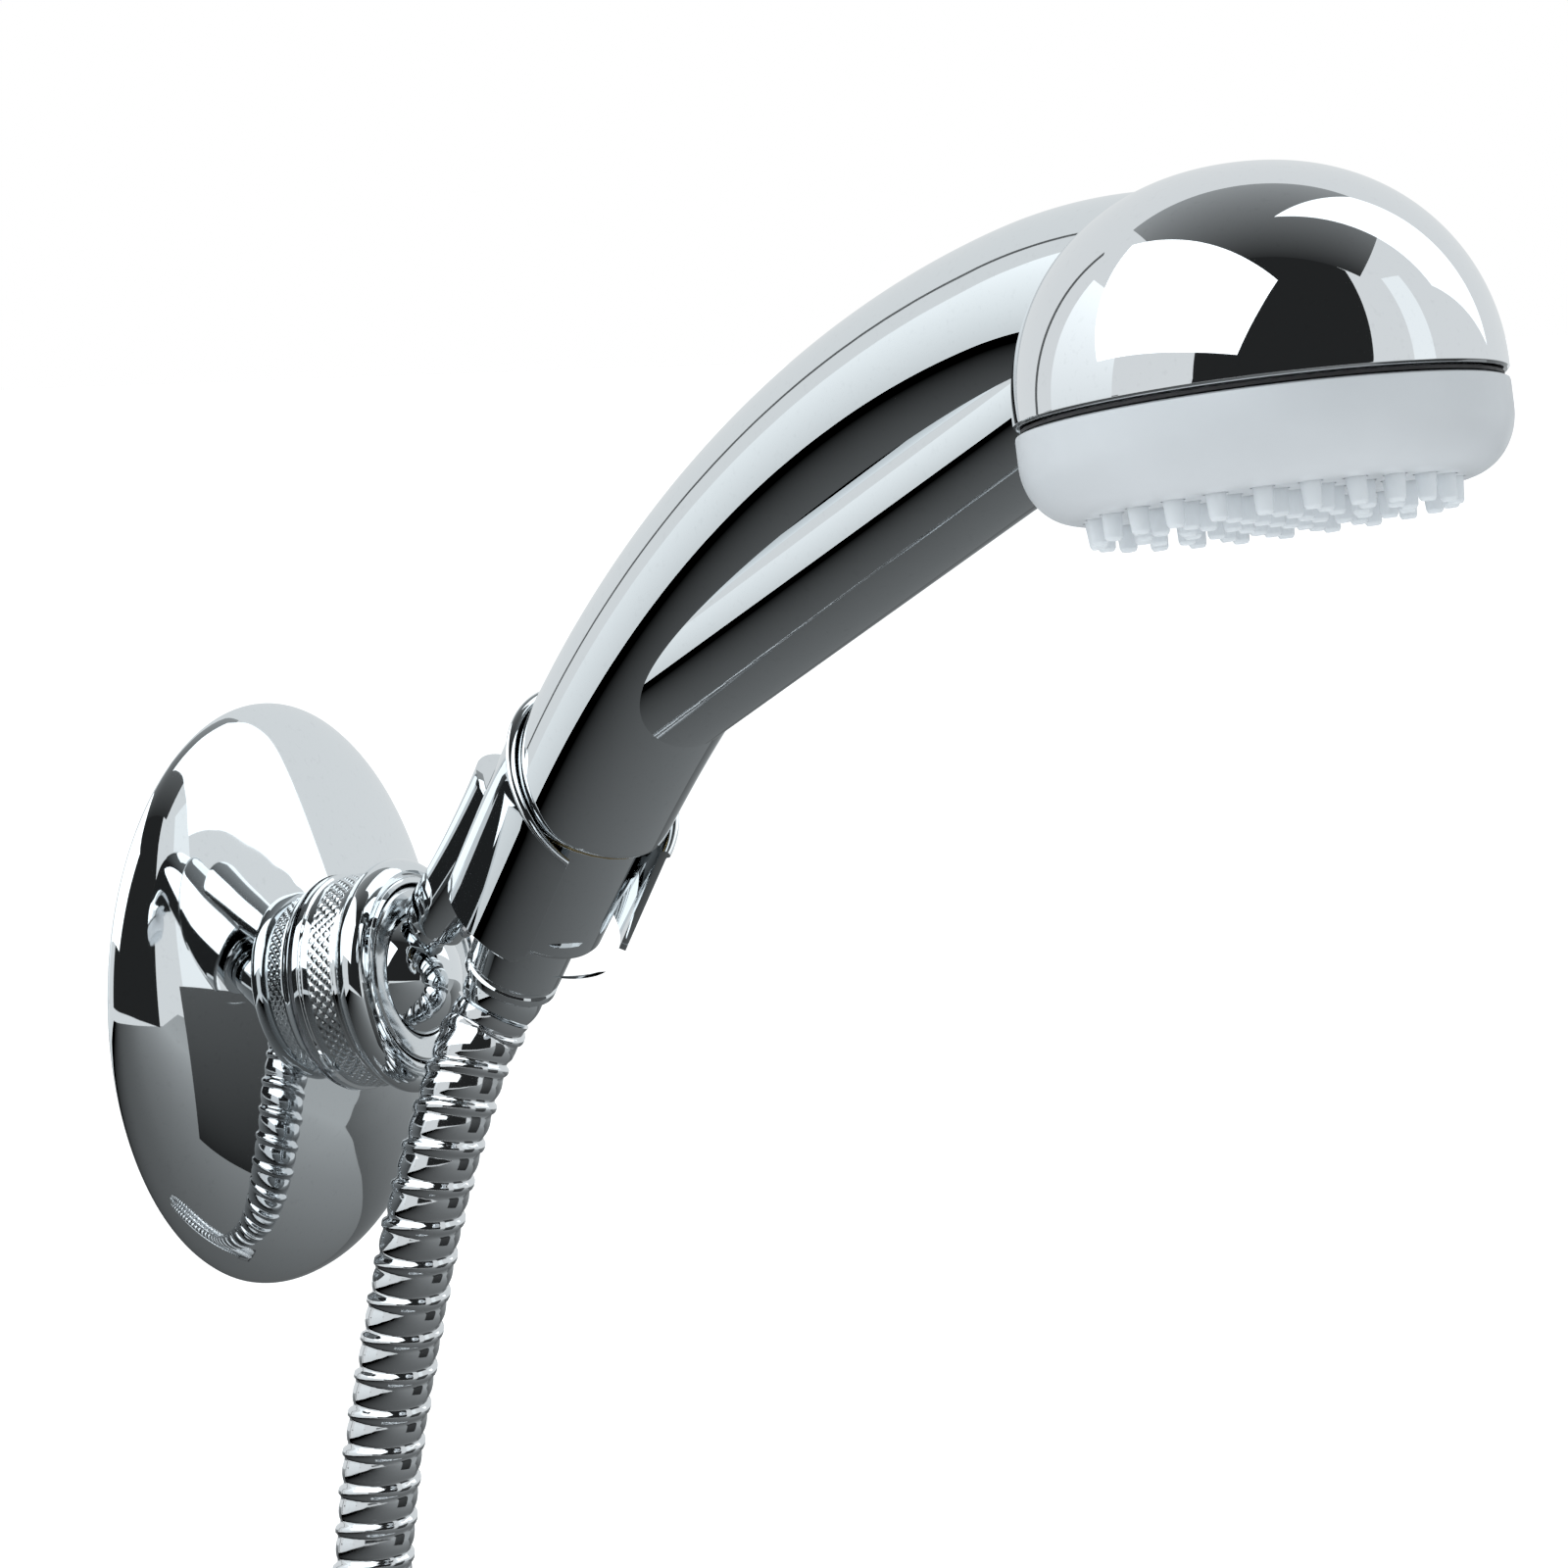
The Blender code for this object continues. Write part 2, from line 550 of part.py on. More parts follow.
def build_hose_end(hand):
    hole = NIPPLE_RADIUS + GAP
    floor = NUT_FOOT + NUT_FLOOR
    turned("cone_nut", [
        (hole, NUT_FOOT), (NUT_FOOT_RADIUS - 0.0005, NUT_FOOT), (NUT_FOOT_RADIUS, NUT_FOOT + 0.0005),
        (NUT_TOP_RADIUS, NUT_TOP - 0.0008), (NUT_TOP_RADIUS - 0.0008, NUT_TOP), (NUT_BORE + THREAD_GAP, NUT_TOP),
        (NUT_BORE + THREAD_GAP, floor), (hole, floor)], "chrome", hand, 36)

    flange_low = floor + GAP
    flange_high = flange_low + NIPPLE_FLANGE
    ferrule_top = NUT_FOOT - GAP
    barb_end = -0.0060
    turned("hose_nipple", [
        (NIPPLE_BORE, barb_end), (NIPPLE_RADIUS, barb_end), (NIPPLE_RADIUS, flange_low),
        (NIPPLE_FLANGE_RADIUS, flange_low), (NIPPLE_FLANGE_RADIUS, flange_high),
        (NIPPLE_BORE, flange_high)], "brass", hand, 32)
    turned("hose_washer", [
        (NIPPLE_BORE + 0.0008, flange_high + GAP), (0.0096, flange_high + GAP),
        (0.0096, flange_high + GAP + WASHER_THICKNESS),
        (NIPPLE_BORE + 0.0008, flange_high + GAP + WASHER_THICKNESS)], "rubber", hand, 32)

    cup = HOSE_BALL_RADIUS + GAP
    centre = FERRULE_FOOT - HOSE_BALL_DROP
    edge_angle = math.degrees(math.asin(HOSE_BALL_DROP / cup))
    outline = [(hole, ferrule_top), (FERRULE_TOP_RADIUS - 0.0006, ferrule_top),
               (FERRULE_TOP_RADIUS, ferrule_top - 0.0006), (FERRULE_FOOT_RADIUS, FERRULE_FOOT + 0.0006),
               (FERRULE_FOOT_RADIUS - 0.0004, FERRULE_FOOT)]
    outline += arc((0, centre), cup, edge_angle, 48, 4)
    outline += [(hole, barb_end - 0.0006)]
    turned("hose_ferrule", outline, "chrome", hand, 28)


def hose_ball_centre():
    return holder_frame() @ Vector((0, 0, FERRULE_FOOT - HOSE_BALL_DROP))


def build_hose_ball(outlet):
    """A pierced ball: it turns every way inside the ferrule's cup and above the hose's end."""
    end = HOSE_BALL_RADIUS * math.sin(math.radians(60))
    turned("hose_ball_end", [(HOSE_BORE, end)] + arc((0, 0), HOSE_BALL_RADIUS, 60, -60, 9)
           + [(HOSE_BORE, -end)], "chrome", outlet, 24)


# ---------------------------------------------------------------- hose

def smooth_route(points, count):
    """Evenly spaced points read from a Catmull-Rom curve through the route's own points."""
    pts = [Vector(p) for p in points]
    pts = [pts[0] * 2 - pts[1]] + pts + [pts[-1] * 2 - pts[-2]]
    dense = []
    for a, b, c, d in zip(pts, pts[1:], pts[2:], pts[3:]):
        for k in range(12):
            t = k / 12
            dense.append(0.5 * ((2 * b) + (c - a) * t + (2 * a - 5 * b + 4 * c - d) * t * t
                                + (3 * b - a - 3 * c + d) * t ** 3))
    dense.append(pts[-2])
    lengths = [0.0]
    for a, b in zip(dense, dense[1:]):
        lengths.append(lengths[-1] + (b - a).length)
    result = []
    for i in range(count):
        goal = lengths[-1] * i / (count - 1)
        k = max(j for j, length in enumerate(lengths[:-1]) if length <= goal + 1e-12)
        share = (goal - lengths[k]) / (lengths[k + 1] - lengths[k])
        result.append(dense[k].lerp(dense[k + 1], share))
    return result


def cord_tube(name, points, radius, finish, parent):
    curve = bpy.data.curves.new(name, "CURVE")
    curve.dimensions = "3D"
    curve.bevel_depth = radius
    curve.bevel_resolution = 3
    curve.use_fill_caps = True
    spline = curve.splines.new("POLY")
    spline.points.add(len(points) - 1)
    for point, place in zip(spline.points, points):
        point.co = (*place, 1.0)
    obj = bpy.data.objects.new(name, curve)
    bpy.context.collection.objects.link(obj)
    obj.parent = parent
    curve.materials.append(material(name, *FINISHES[finish]))


def longer(points, amount):
    """The same route with its last point moved on by amount."""
    last = points[-1] + (points[-1] - points[-2]).normalized() * amount
    return points[:-1] + [last]


def build_hose(wall):
    hang = HOSE_HANG.normalized()
    start = hose_ball_centre() + hang * (HOSE_BALL_RADIUS + GAP)
    lead = [start] + smooth_route((start + hang * 0.004,) + HOSE_ROUTE, 19)
    tail = smooth_route(TAIL_ROUTE, 9)
    cord_tube("hose", lead, HOSE_RADIUS, "chrome", wall)
    cord_tube("hose_tail", tail, HOSE_RADIUS, "chrome", wall)

    # coil: the outer shape of its turns, hanging parallel to the wall
    half = HOSE_RADIUS * COIL_LAYERS
    corner = HOSE_RADIUS * 0.6
    low, high = COIL_RADIUS - HOSE_RADIUS, COIL_RADIUS + HOSE_RADIUS
    place = Matrix.Translation(COIL_CENTRE) @ Matrix.Rotation(math.radians(90), 4, "X")
    coil = turned("hose_coil", [
        (low, -half + corner), (low + corner, -half), (high - corner, -half), (high, -half + corner),
        (high, half - corner), (high - corner, half), (low + corner, half), (low, half - corner)],
        "chrome", wall, 48, place)
    for name, route in (("lead_groove", longer(lead, GAP)),
                        ("tail_groove", longer(list(reversed(tail)), GAP))):
        rings = [(axis_matrix(b, c - a, Vector((0, 1, 0))), HOSE_RADIUS + GAP)
                 for a, b, c in zip(route[:1] + route, route, route[1:] + route[-1:])]
        boolean(coil, rod(name, rings, None, wall, 20))

    # tie: a flat band round the strands
    inner_r, inner_h = HOSE_RADIUS + GAP, half + GAP
    bm = bmesh.new()
    radial = Vector((math.cos(TIE_ANGLE), 0, math.sin(TIE_ANGLE)))
    along = Vector((-math.sin(TIE_ANGLE), 0, math.cos(TIE_ANGLE)))
    centre = COIL_CENTRE + radial * COIL_RADIUS
    sag = TIE_WIDTH ** 2 / 8 / low
    loops = []
    for side in (-0.5, 0.5):
        for extra in (0.0, TIE_THICKNESS):
            r_out, r_in, h = inner_r + extra, inner_r + extra + sag, inner_h + extra
            corners = ((r_out, h), (-r_in, h), (-r_in, -h), (r_out, -h))
            loops.append([bm.verts.new(centre + radial * r + Vector((0, 1, 0)) * y + along * TIE_WIDTH * side)
                          for r, y in corners])
    near_in, near_out, far_in, far_out = loops
    for a, b in ((near_in, near_out), (near_out, far_out), (far_out, far_in), (far_in, near_in)):
        for i in range(4):
            j = (i + 1) % 4
            bm.faces.new((a[i], a[j], b[j], b[i]))
    finish_object("hose_tie", bm, "rubber", wall)
    return tail


def build_tap_end(wall, tail):
    place = axis_matrix(tail[-1], tail[-1] - tail[-2])
    frame = frame_empty("tap_nut_axis", place)
    hole = NIPPLE_RADIUS + GAP
    length = TAP_FERRULE_LENGTH
    turned("tap_ferrule", [
        (hole, GAP), (TAP_FERRULE_RADIUS - 0.0006, GAP), (TAP_FERRULE_RADIUS, GAP + 0.0006),
        (TAP_FERRULE_RADIUS, length - 0.0006), (TAP_FERRULE_RADIUS - 0.0006, length), (hole, length)],
        "chrome", frame, 32)
    floor = length + GAP
    nut_end = floor + TAP_NUT_LENGTH
    bottom = 0.0026
    flange_low = floor + bottom + GAP
    turned("tap_nipple", [
        (NIPPLE_BORE, GAP + 0.002), (NIPPLE_RADIUS, GAP + 0.002), (NIPPLE_RADIUS, flange_low),
        (NIPPLE_FLANGE_RADIUS, flange_low), (NIPPLE_FLANGE_RADIUS, flange_low + NIPPLE_FLANGE),
        (NIPPLE_BORE, flange_low + NIPPLE_FLANGE)], "brass", frame, 32)
    washer = flange_low + NIPPLE_FLANGE + GAP
    turned("tap_washer", [(NIPPLE_BORE + 0.0008, washer), (0.0096, washer), (0.0096, washer + WASHER_THICKNESS),
                          (NIPPLE_BORE + 0.0008, washer + WASHER_THICKNESS)], "rubber", frame, 32)
    # hexagon nut with rounded crowns
    corner = TAP_NUT_ACROSS_FLATS / 2 / math.cos(math.radians(30))
    bm = bmesh.new()
    base = bmesh.ops.create_circle(bm, segments=6, radius=corner, cap_ends=True,
                                   matrix=Matrix.Translation((0, 0, floor)))
    face = base["verts"][0].link_faces[0]
    raised = bmesh.ops.extrude_face_region(bm, geom=[face])
    moved = [v for v in raised["geom"] if isinstance(v, bmesh.types.BMVert)]
    bmesh.ops.translate(bm, vec=(0, 0, TAP_NUT_LENGTH), verts=moved)
    bmesh.ops.delete(bm, geom=[face], context="FACES_ONLY")
    bm.faces.new(base["verts"])
    nut = finish_object("tap_nut", bm, "chrome", frame)
    crown = turned("nut_crown", [
        (0, floor - 0.001), (corner - 0.0022, floor - 0.001), (corner + 0.0005, floor + 0.0016),
        (corner + 0.0005, nut_end - 0.0016), (corner - 0.0022, nut_end + 0.001), (0, nut_end + 0.001)],
        None, frame, 32)
    boolean(nut, crown, "INTERSECT")
    boolean(nut, turned("tap_nut_bore", [
        (0, floor - 0.001), (hole, floor - 0.001), (hole, floor + bottom), (TAP_NUT_BORE, floor + bottom),
        (TAP_NUT_BORE, nut_end + 0.001), (0, nut_end + 0.001)], None, frame, 32))


# ---------------------------------------------------------------- handset

def build_handset(hand, head):
    # threaded insert: spigot into the nut, plug into the handle
    spigot = NUT_BORE - THREAD_GAP + 0.0001
    insert_top = HANDLE_FOOT + INSERT_PLUG_LENGTH
    shelf = NUT_TOP + GAP
    plug = HANDLE_FOOT_RADIUS - HANDLE_EDGE - HANDLE_WALL - GAP
    regulator_radius = 0.0066
    regulator_low = insert_top - 0.0040
    turned("inlet_insert", [
        (INSERT_BORE, INSERT_FOOT), (spigot - 0.0005, INSERT_FOOT), (spigot, INSERT_FOOT + 0.0005),
        (spigot, shelf), (0.0138, shelf), (0.0138, HANDLE_FOOT - GAP), (plug, HANDLE_FOOT - GAP),
        (plug, insert_top), (regulator_radius + GAP, insert_top),
        (regulator_radius + GAP, regulator_low), (INSERT_BORE, regulator_low)], "brass", hand, 28)
    turned("flow_regulator", [
        (0.0016, regulator_low + GAP), (regulator_radius, regulator_low + GAP),
        (regulator_radius, insert_top - 0.0012), (0.0030, insert_top - 0.0012),
        (0.0016, regulator_low + 0.0014)], "grey_plastic", hand, 24)

    # the handle is one long bend; its foot is a little slimmer to sit in the sleeve
    foot = HANDLE_FOOT - HANDLE_BEND_START
    edge = HANDLE_EDGE
    reach = arcs_length(HANDLE_BENDS)
    steps = 18
    rings = [(along(HANDLE_BENDS, foot), HANDLE_FOOT_RADIUS - edge)]
    for i in range(steps + 1):
        distance = foot + edge + (reach - foot - edge) * i / steps
        grow = 1 - math.exp(-(distance - foot - edge) / 0.018)
        radius = HANDLE_FOOT_RADIUS + (HANDLE_RADIUS - HANDLE_FOOT_RADIUS) * grow
        rings.append((along(HANDLE_BENDS, distance), radius))
    pipe("handle_tube", rings, HANDLE_WALL, "chrome", hand, 24)

    # water pipe through the handle, then down to the distributor
    start = insert_top + 0.0012 - HANDLE_BEND_START
    bends = HANDLE_BENDS + ((PIPE_BEND, HEAD_ANGLE),)
    stops = [start + (reach - start) * i / 9 for i in range(10)]
    stops += [reach + (arcs_length(bends) - reach) * i / 5 for i in range(1, 6)]
    corner = (head_frame().inverted() @ along(bends, stops[-1])).translation.z
    stops.append(stops[-1] + CHAMBER_BACK - GAP - corner)
    pipe("water_pipe", [(along(bends, stop), PIPE_RADIUS) for stop in stops],
         PIPE_WALL, "grey_plastic", hand, 12)
    build_dome(head, hand, rings)


def build_dome(head, hand, handle_rings):
    """Dome behind the seam; Z is the spray direction, so it stands on the -Z side."""
    skirt = SEAM / 2 + 0.0012
    steps = 10
    outer, inner = [], []
    for i in range(steps):
        a = math.radians(90 * i / steps)
        r = HEAD_RADIUS * math.cos(a) ** 0.92
        z = -skirt - (DOME_HEIGHT - 0.0012) * math.sin(a)
        outer.append((r, z))
        inner.append((max(r - DOME_WALL, 0.0006), min(z + DOME_WALL * math.sin(a), -skirt)))
    top = -skirt - DOME_HEIGHT + 0.0012
    rim = [(HEAD_RADIUS, -SEAM / 2 - 0.0004), (HEAD_RADIUS - 0.0004, -SEAM / 2),
           (HEAD_RADIUS - DOME_WALL, -SEAM / 2)]
    dome = turned("head_dome", [(0, top)] + outer[::-1] + rim + inner + [(0, top + DOME_WALL)],
                  "chrome", head, 40)
    clear = [(m, r + GAP) for m, r in handle_rings]
    clear.append((handle_rings[-1][0] @ Matrix.Translation((0, 0, GAP)), handle_rings[-1][1] + GAP))
    boolean(dome, rod("handle_clearance", clear, None, hand, 28))

    # soft gasket in the seam
    high = SEAM / 2 - 0.0001
    turned("head_gasket", [
        (HEAD_RADIUS - DOME_WALL - 0.0006, GAP - SEAM / 2), (HEAD_RADIUS - 0.0009, GAP - SEAM / 2),
        (HEAD_RADIUS - 0.0009, high), (HEAD_RADIUS - DOME_WALL - 0.0006, high)], "rubber", head, 40)


def nozzle_places():
    places = []
    for number, (radius, count) in enumerate(NOZZLE_RINGS):
        for i in range(count):
            a = math.tau * (i + 0.5 * (number % 2)) / count
            places.append((radius * math.cos(a), radius * math.sin(a)))
    return places


def nozzle_set(radius, tip_radius, low, high):
    bm = bmesh.new()
    for x, y in nozzle_places():
        bmesh.ops.create_cone(bm, cap_ends=True, segments=8, radius1=radius, radius2=tip_radius,
                              depth=high - low, matrix=Matrix.Translation((x, y, (low + high) / 2)))
    return bm


def build_face(head):
    """The spray dish: rounded side, flat face and one hole for each nozzle."""
    top = SEAM / 2 + 0.0002
    side = HEAD_RADIUS - 0.0001
    height = FACE_EDGE_HEIGHT
    outer = [(side - 0.0005, top), (side, top + 0.0005)]
    outer += [(side - FACE_EDGE_WIDTH * (1 - math.cos(math.radians(a))),
               FACE_DEPTH - height + height * math.sin(math.radians(a))) for a in range(0, 91, 15)]
    inner_width, inner_height = FACE_EDGE_WIDTH - FACE_WALL, height - FACE_WALL
    inner = [(side - FACE_WALL - inner_width * (1 - math.cos(math.radians(a))),
              FACE_DEPTH - height + inner_height * math.sin(math.radians(a))) for a in (90, 60, 30, 0)]
    face = turned("spray_face", outer + [(0, FACE_DEPTH), (0, FACE_DEPTH - FACE_WALL)] + inner
                  + [(side - FACE_WALL, top)], "grey_plastic", head, 40)
    reach = 0.001
    holes = nozzle_set(NOZZLE_RADIUS + GAP, NOZZLE_RADIUS + GAP,
                       FACE_DEPTH - FACE_WALL - reach, FACE_DEPTH + reach)
    boolean(face, finish_object("nozzle_holes", holes, None, head))


def build_water_chamber(head):
    mat_back = MAT_FRONT - MAT_THICKNESS
    mat_radius = HEAD_RADIUS - FACE_EDGE_WIDTH - 0.0005
    mat = turned("nozzle_mat", [(0, mat_back), (mat_radius, mat_back), (mat_radius, MAT_FRONT),
                                (0, MAT_FRONT)], "silicone", head, 40)
    pins = nozzle_set(NOZZLE_RADIUS, NOZZLE_RADIUS * 0.86, MAT_FRONT - 0.0006,
                      FACE_DEPTH + NOZZLE_LENGTH)
    boolean(mat, finish_object("nozzle_pins", pins, None, head), "UNION")

    # the distributor's ring threads into the dome; its dish is the water chamber
    ring = HEAD_RADIUS - 0.0040
    wall = 0.0016
    seat = mat_back - GAP
    floor = CHAMBER_BACK + 0.0018
    turned("distributor", [
        (PIPE_RADIUS - PIPE_WALL, CHAMBER_BACK), (ring - wall, CHAMBER_BACK), (ring - wall, -0.0010),
        (ring, -0.0010), (ring, seat - 0.0023), (mat_radius, seat), (mat_radius - wall, seat),
        (mat_radius - wall, floor), (PIPE_RADIUS - PIPE_WALL, floor)], "grey_plastic", head, 36)


def main():
    clear_scene()
    wall = frame_empty("wall_frame", Matrix.Identity(4))
    socket = frame_empty("socket_axis", socket_frame())
    stem = frame_empty("stem_axis", stem_matrix())
    hand = frame_empty("sleeve_axis", holder_frame())
    head = frame_empty("spray_axis", holder_frame() @ head_frame())
    outlet = frame_empty("hose_axis", axis_matrix(hose_ball_centre(), HOSE_HANG))
    bpy.context.view_layer.update()
    build_wall_unit(wall, socket)
    build_collar(socket)
    build_stud(stem)
    build_holder(hand, stem)
    build_hose_end(hand)
    build_hose_ball(outlet)
    build_handset(hand, head)
    build_face(head)
    build_water_chamber(head)
    tail = build_hose(wall)
    build_tap_end(wall, tail)


main()
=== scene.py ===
import math

import bmesh
import bpy
import numpy as np
from mathutils import Matrix, Vector


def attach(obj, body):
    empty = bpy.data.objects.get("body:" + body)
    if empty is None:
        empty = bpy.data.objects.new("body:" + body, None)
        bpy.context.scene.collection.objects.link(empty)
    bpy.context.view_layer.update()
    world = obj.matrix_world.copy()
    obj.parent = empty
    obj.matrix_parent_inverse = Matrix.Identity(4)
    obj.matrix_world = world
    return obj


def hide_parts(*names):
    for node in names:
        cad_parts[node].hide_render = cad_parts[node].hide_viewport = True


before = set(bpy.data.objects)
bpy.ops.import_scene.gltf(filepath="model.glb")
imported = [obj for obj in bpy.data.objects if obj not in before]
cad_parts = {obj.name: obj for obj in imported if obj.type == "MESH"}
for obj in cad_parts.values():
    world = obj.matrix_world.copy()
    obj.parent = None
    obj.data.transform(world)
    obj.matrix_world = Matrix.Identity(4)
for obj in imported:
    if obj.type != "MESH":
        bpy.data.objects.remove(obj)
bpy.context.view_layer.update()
bpy.context.scene.view_settings.view_transform = "Standard"
print("frame loaded:", len(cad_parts), "nodes")


# ---- camera ----
camera = dict(place=(-1.0822, -0.6996, 0.1298), right=(0.4784, -0.8769, -0.0456),
              up=(0.0883, -0.0036, 0.9961), back=(-0.8737, -0.4806, 0.0757), lens=170.75)


def placeCamera():
    data = bpy.data.cameras.new("camera")
    data.lens = camera["lens"]
    data.sensor_width = 36
    data.clip_start = 0.05
    data.clip_end = 60
    cam = bpy.data.objects.new("camera", data)
    bpy.context.collection.objects.link(cam)
    turn = Matrix((camera["right"], camera["up"], camera["back"])).transposed()
    cam.matrix_world = Matrix.Translation(camera["place"]) @ turn.to_4x4()
    bpy.context.scene.camera = cam


placeCamera()
print("camera placed")


# ---- finishes ----
def newMaterial(name):
    mat = bpy.data.materials.new(name)
    mat.use_nodes = True
    return mat, mat.node_tree, mat.node_tree.nodes["Principled BSDF"]


def noiseOf(tree, size, detail=3.0, stretch=(1, 1, 1)):
    # noise in the row's own metres; size is how big its patches are
    coords = tree.nodes.new("ShaderNodeTexCoord")
    mapping = tree.nodes.new("ShaderNodeMapping")
    mapping.inputs["Scale"].default_value = stretch
    noise = tree.nodes.new("ShaderNodeTexNoise")
    noise.inputs["Scale"].default_value = 1.0 / size
    noise.inputs["Detail"].default_value = detail
    tree.links.new(coords.outputs["Object"], mapping.inputs["Vector"])
    tree.links.new(mapping.outputs["Vector"], noise.inputs["Vector"])
    return noise.outputs["Fac"]


def ranged(tree, value, low, high, start=0.3, stop=0.7):
    node = tree.nodes.new("ShaderNodeMapRange")
    node.inputs["From Min"].default_value = start
    node.inputs["From Max"].default_value = stop
    node.inputs["To Min"].default_value = low
    node.inputs["To Max"].default_value = high
    tree.links.new(value, node.inputs["Value"])
    return node.outputs["Result"]


def mixedColour(tree, value, first, second):
    mix = tree.nodes.new("ShaderNodeMix")
    mix.data_type = "RGBA"
    mix.inputs["A"].default_value = (*first, 1)
    mix.inputs["B"].default_value = (*second, 1)
    tree.links.new(value, mix.inputs["Factor"])
    return mix.outputs["Result"]


def bumped(tree, shader, height, distance, strength=1.0):
    bump = tree.nodes.new("ShaderNodeBump")
    bump.inputs["Strength"].default_value = strength
    bump.inputs["Distance"].default_value = distance
    tree.links.new(height, bump.inputs["Height"])
    tree.links.new(bump.outputs["Normal"], shader.inputs["Normal"])


def chromePlate(name, colour=(0.82, 0.85, 0.87), smooth=0.020, smeared=0.060, ripple=0.0000015):
    # bright plate: faint water smears in the gloss, tiny waves from polishing
    mat, tree, shader = newMaterial(name)
    shader.inputs["Metallic"].default_value = 1.0
    smear = noiseOf(tree, 0.030, 5.0, (1, 1, 2.2))
    tree.links.new(ranged(tree, smear, smooth, smeared, 0.42, 0.75), shader.inputs["Roughness"])
    fleck = noiseOf(tree, 0.0012, 2.0)
    dull = tuple(c * 0.94 for c in colour)
    tree.links.new(mixedColour(tree, ranged(tree, fleck, 0, 1, 0.60, 0.80), colour, dull),
                   shader.inputs["Base Color"])
    bumped(tree, shader, noiseOf(tree, 0.011, 1.0), ripple * 8)
    return mat


def mouldedPlastic(name, colour, roughness, grain=0.00003):
    mat, tree, shader = newMaterial(name)
    shader.inputs["Specular IOR Level"].default_value = 0.5
    cloud = noiseOf(tree, 0.018, 4.0)
    other = tuple(c * 0.95 for c in colour)
    tree.links.new(mixedColour(tree, ranged(tree, cloud, 0, 1), colour, other), shader.inputs["Base Color"])
    tree.links.new(ranged(tree, noiseOf(tree, 0.006, 3.0), roughness * 0.85, roughness * 1.2),
                   shader.inputs["Roughness"])
    bumped(tree, shader, noiseOf(tree, 0.0007, 2.0), grain, 0.35)
    return mat


def turnedMetal(name, colour, roughness):
    mat, tree, shader = newMaterial(name)
    shader.inputs["Metallic"].default_value = 1.0
    worn = tuple(c * 0.82 for c in colour)
    patch = ranged(tree, noiseOf(tree, 0.004, 4.0), 0, 1, 0.35, 0.7)
    tree.links.new(mixedColour(tree, patch, colour, worn), shader.inputs["Base Color"])
    tree.links.new(ranged(tree, noiseOf(tree, 0.002, 3.0), roughness * 0.8, roughness * 1.4),
                   shader.inputs["Roughness"])
    bumped(tree, shader, noiseOf(tree, 0.0004, 2.0, (1, 1, 9)), 0.00002, 0.3)
    return mat


# ---- mesh making ----
def meshPiece(name, verts, faces, mat, body, replaced, sharp=38):
    mesh = bpy.data.meshes.new(name)
    mesh.from_pydata([tuple(v) for v in verts], [], faces)
    mesh.validate()
    bm = bmesh.new()
    bm.from_mesh(mesh)
    bmesh.ops.recalc_face_normals(bm, faces=bm.faces)
    bm.to_mesh(mesh)
    bm.free()
    mesh.shade_smooth()
    mesh.set_sharp_from_angle(angle=math.radians(sharp))
    mesh.materials.append(mat)
    piece = bpy.data.objects.new(name, mesh)
    bpy.context.collection.objects.link(piece)
    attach(piece, body)
    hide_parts(*replaced)
    return piece


def skin(rings, closed=False):
    # quads over a grid of rings, each ring a loop of points; closed joins the last ring to the first
    count, around = len(rings), len(rings[0])
    verts = np.asarray(rings, dtype=float).reshape(-1, 3)
    faces = []
    for i in range(count if closed else count - 1):
        k = (i + 1) % count
        for j in range(around):
            n = (j + 1) % around
            faces.append((i * around + j, i * around + n, k * around + n, k * around + j))
    return verts, faces


def capped(verts, faces, around):
    # closes both ends of an open skin
    last = len(verts) - around
    faces = list(faces)
    faces.append(tuple(range(around - 1, -1, -1)))
    faces.append(tuple(range(last, last + around)))
    return verts, faces


def softened(profile, radius=0.00025, points=4):
    # rounds every corner of a closed (radius, height) outline
    result = []
    count = len(profile)
    for i in range(count):
        before, here, after = (np.array(profile[(i + k) % count][:2], float) for k in (-1, 0, 1))
        wanted = profile[i][2] if len(profile[i]) > 2 else radius
        toBefore, toAfter = before - here, after - here
        la, lb = np.linalg.norm(toBefore), np.linalg.norm(toAfter)
        if la < 1e-9 or lb < 1e-9 or wanted <= 0:
            result.append(here)
            continue
        toBefore, toAfter = toBefore / la, toAfter / lb
        bend = math.acos(max(-1, min(1, float(toBefore @ toAfter))))
        if bend > 2.9:
            result.append(here)
            continue
        reach = min(wanted / math.tan(bend / 2), la * 0.45, lb * 0.45)
        a, b = here + toBefore * reach, here + toAfter * reach
        for k in range(points + 1):
            t = k / points
            result.append((1 - t) ** 2 * a + 2 * t * (1 - t) * here + t * t * b)
    return result


def lathe(name, profile, place, mat, body, replaced, sides=128, wave=None):
    # a closed outline turned about Z; wave(angle, radius, height) may move the radius
    rings = []
    angles = np.linspace(0, math.tau, sides, endpoint=False)
    for r, z in profile:
        radius = np.full(sides, float(r))
        if wave:
            radius = radius + wave(angles, r, z)
        local = np.stack([radius * np.cos(angles), radius * np.sin(angles), np.full(sides, z)], 1)
        rings.append(moved(local, place))
    verts, faces = skin(rings, closed=True)
    return meshPiece(name, verts, faces, mat, body, replaced)


def moved(points, matrix):
    m = np.array(matrix)
    return points @ m[:3, :3].T + m[:3, 3]


def circleAt(place, radius, around):
    a = np.linspace(0, math.tau, around, endpoint=False)
    local = np.stack([radius * np.cos(a), radius * np.sin(a), np.zeros(around)], 1)
    return moved(local, place)


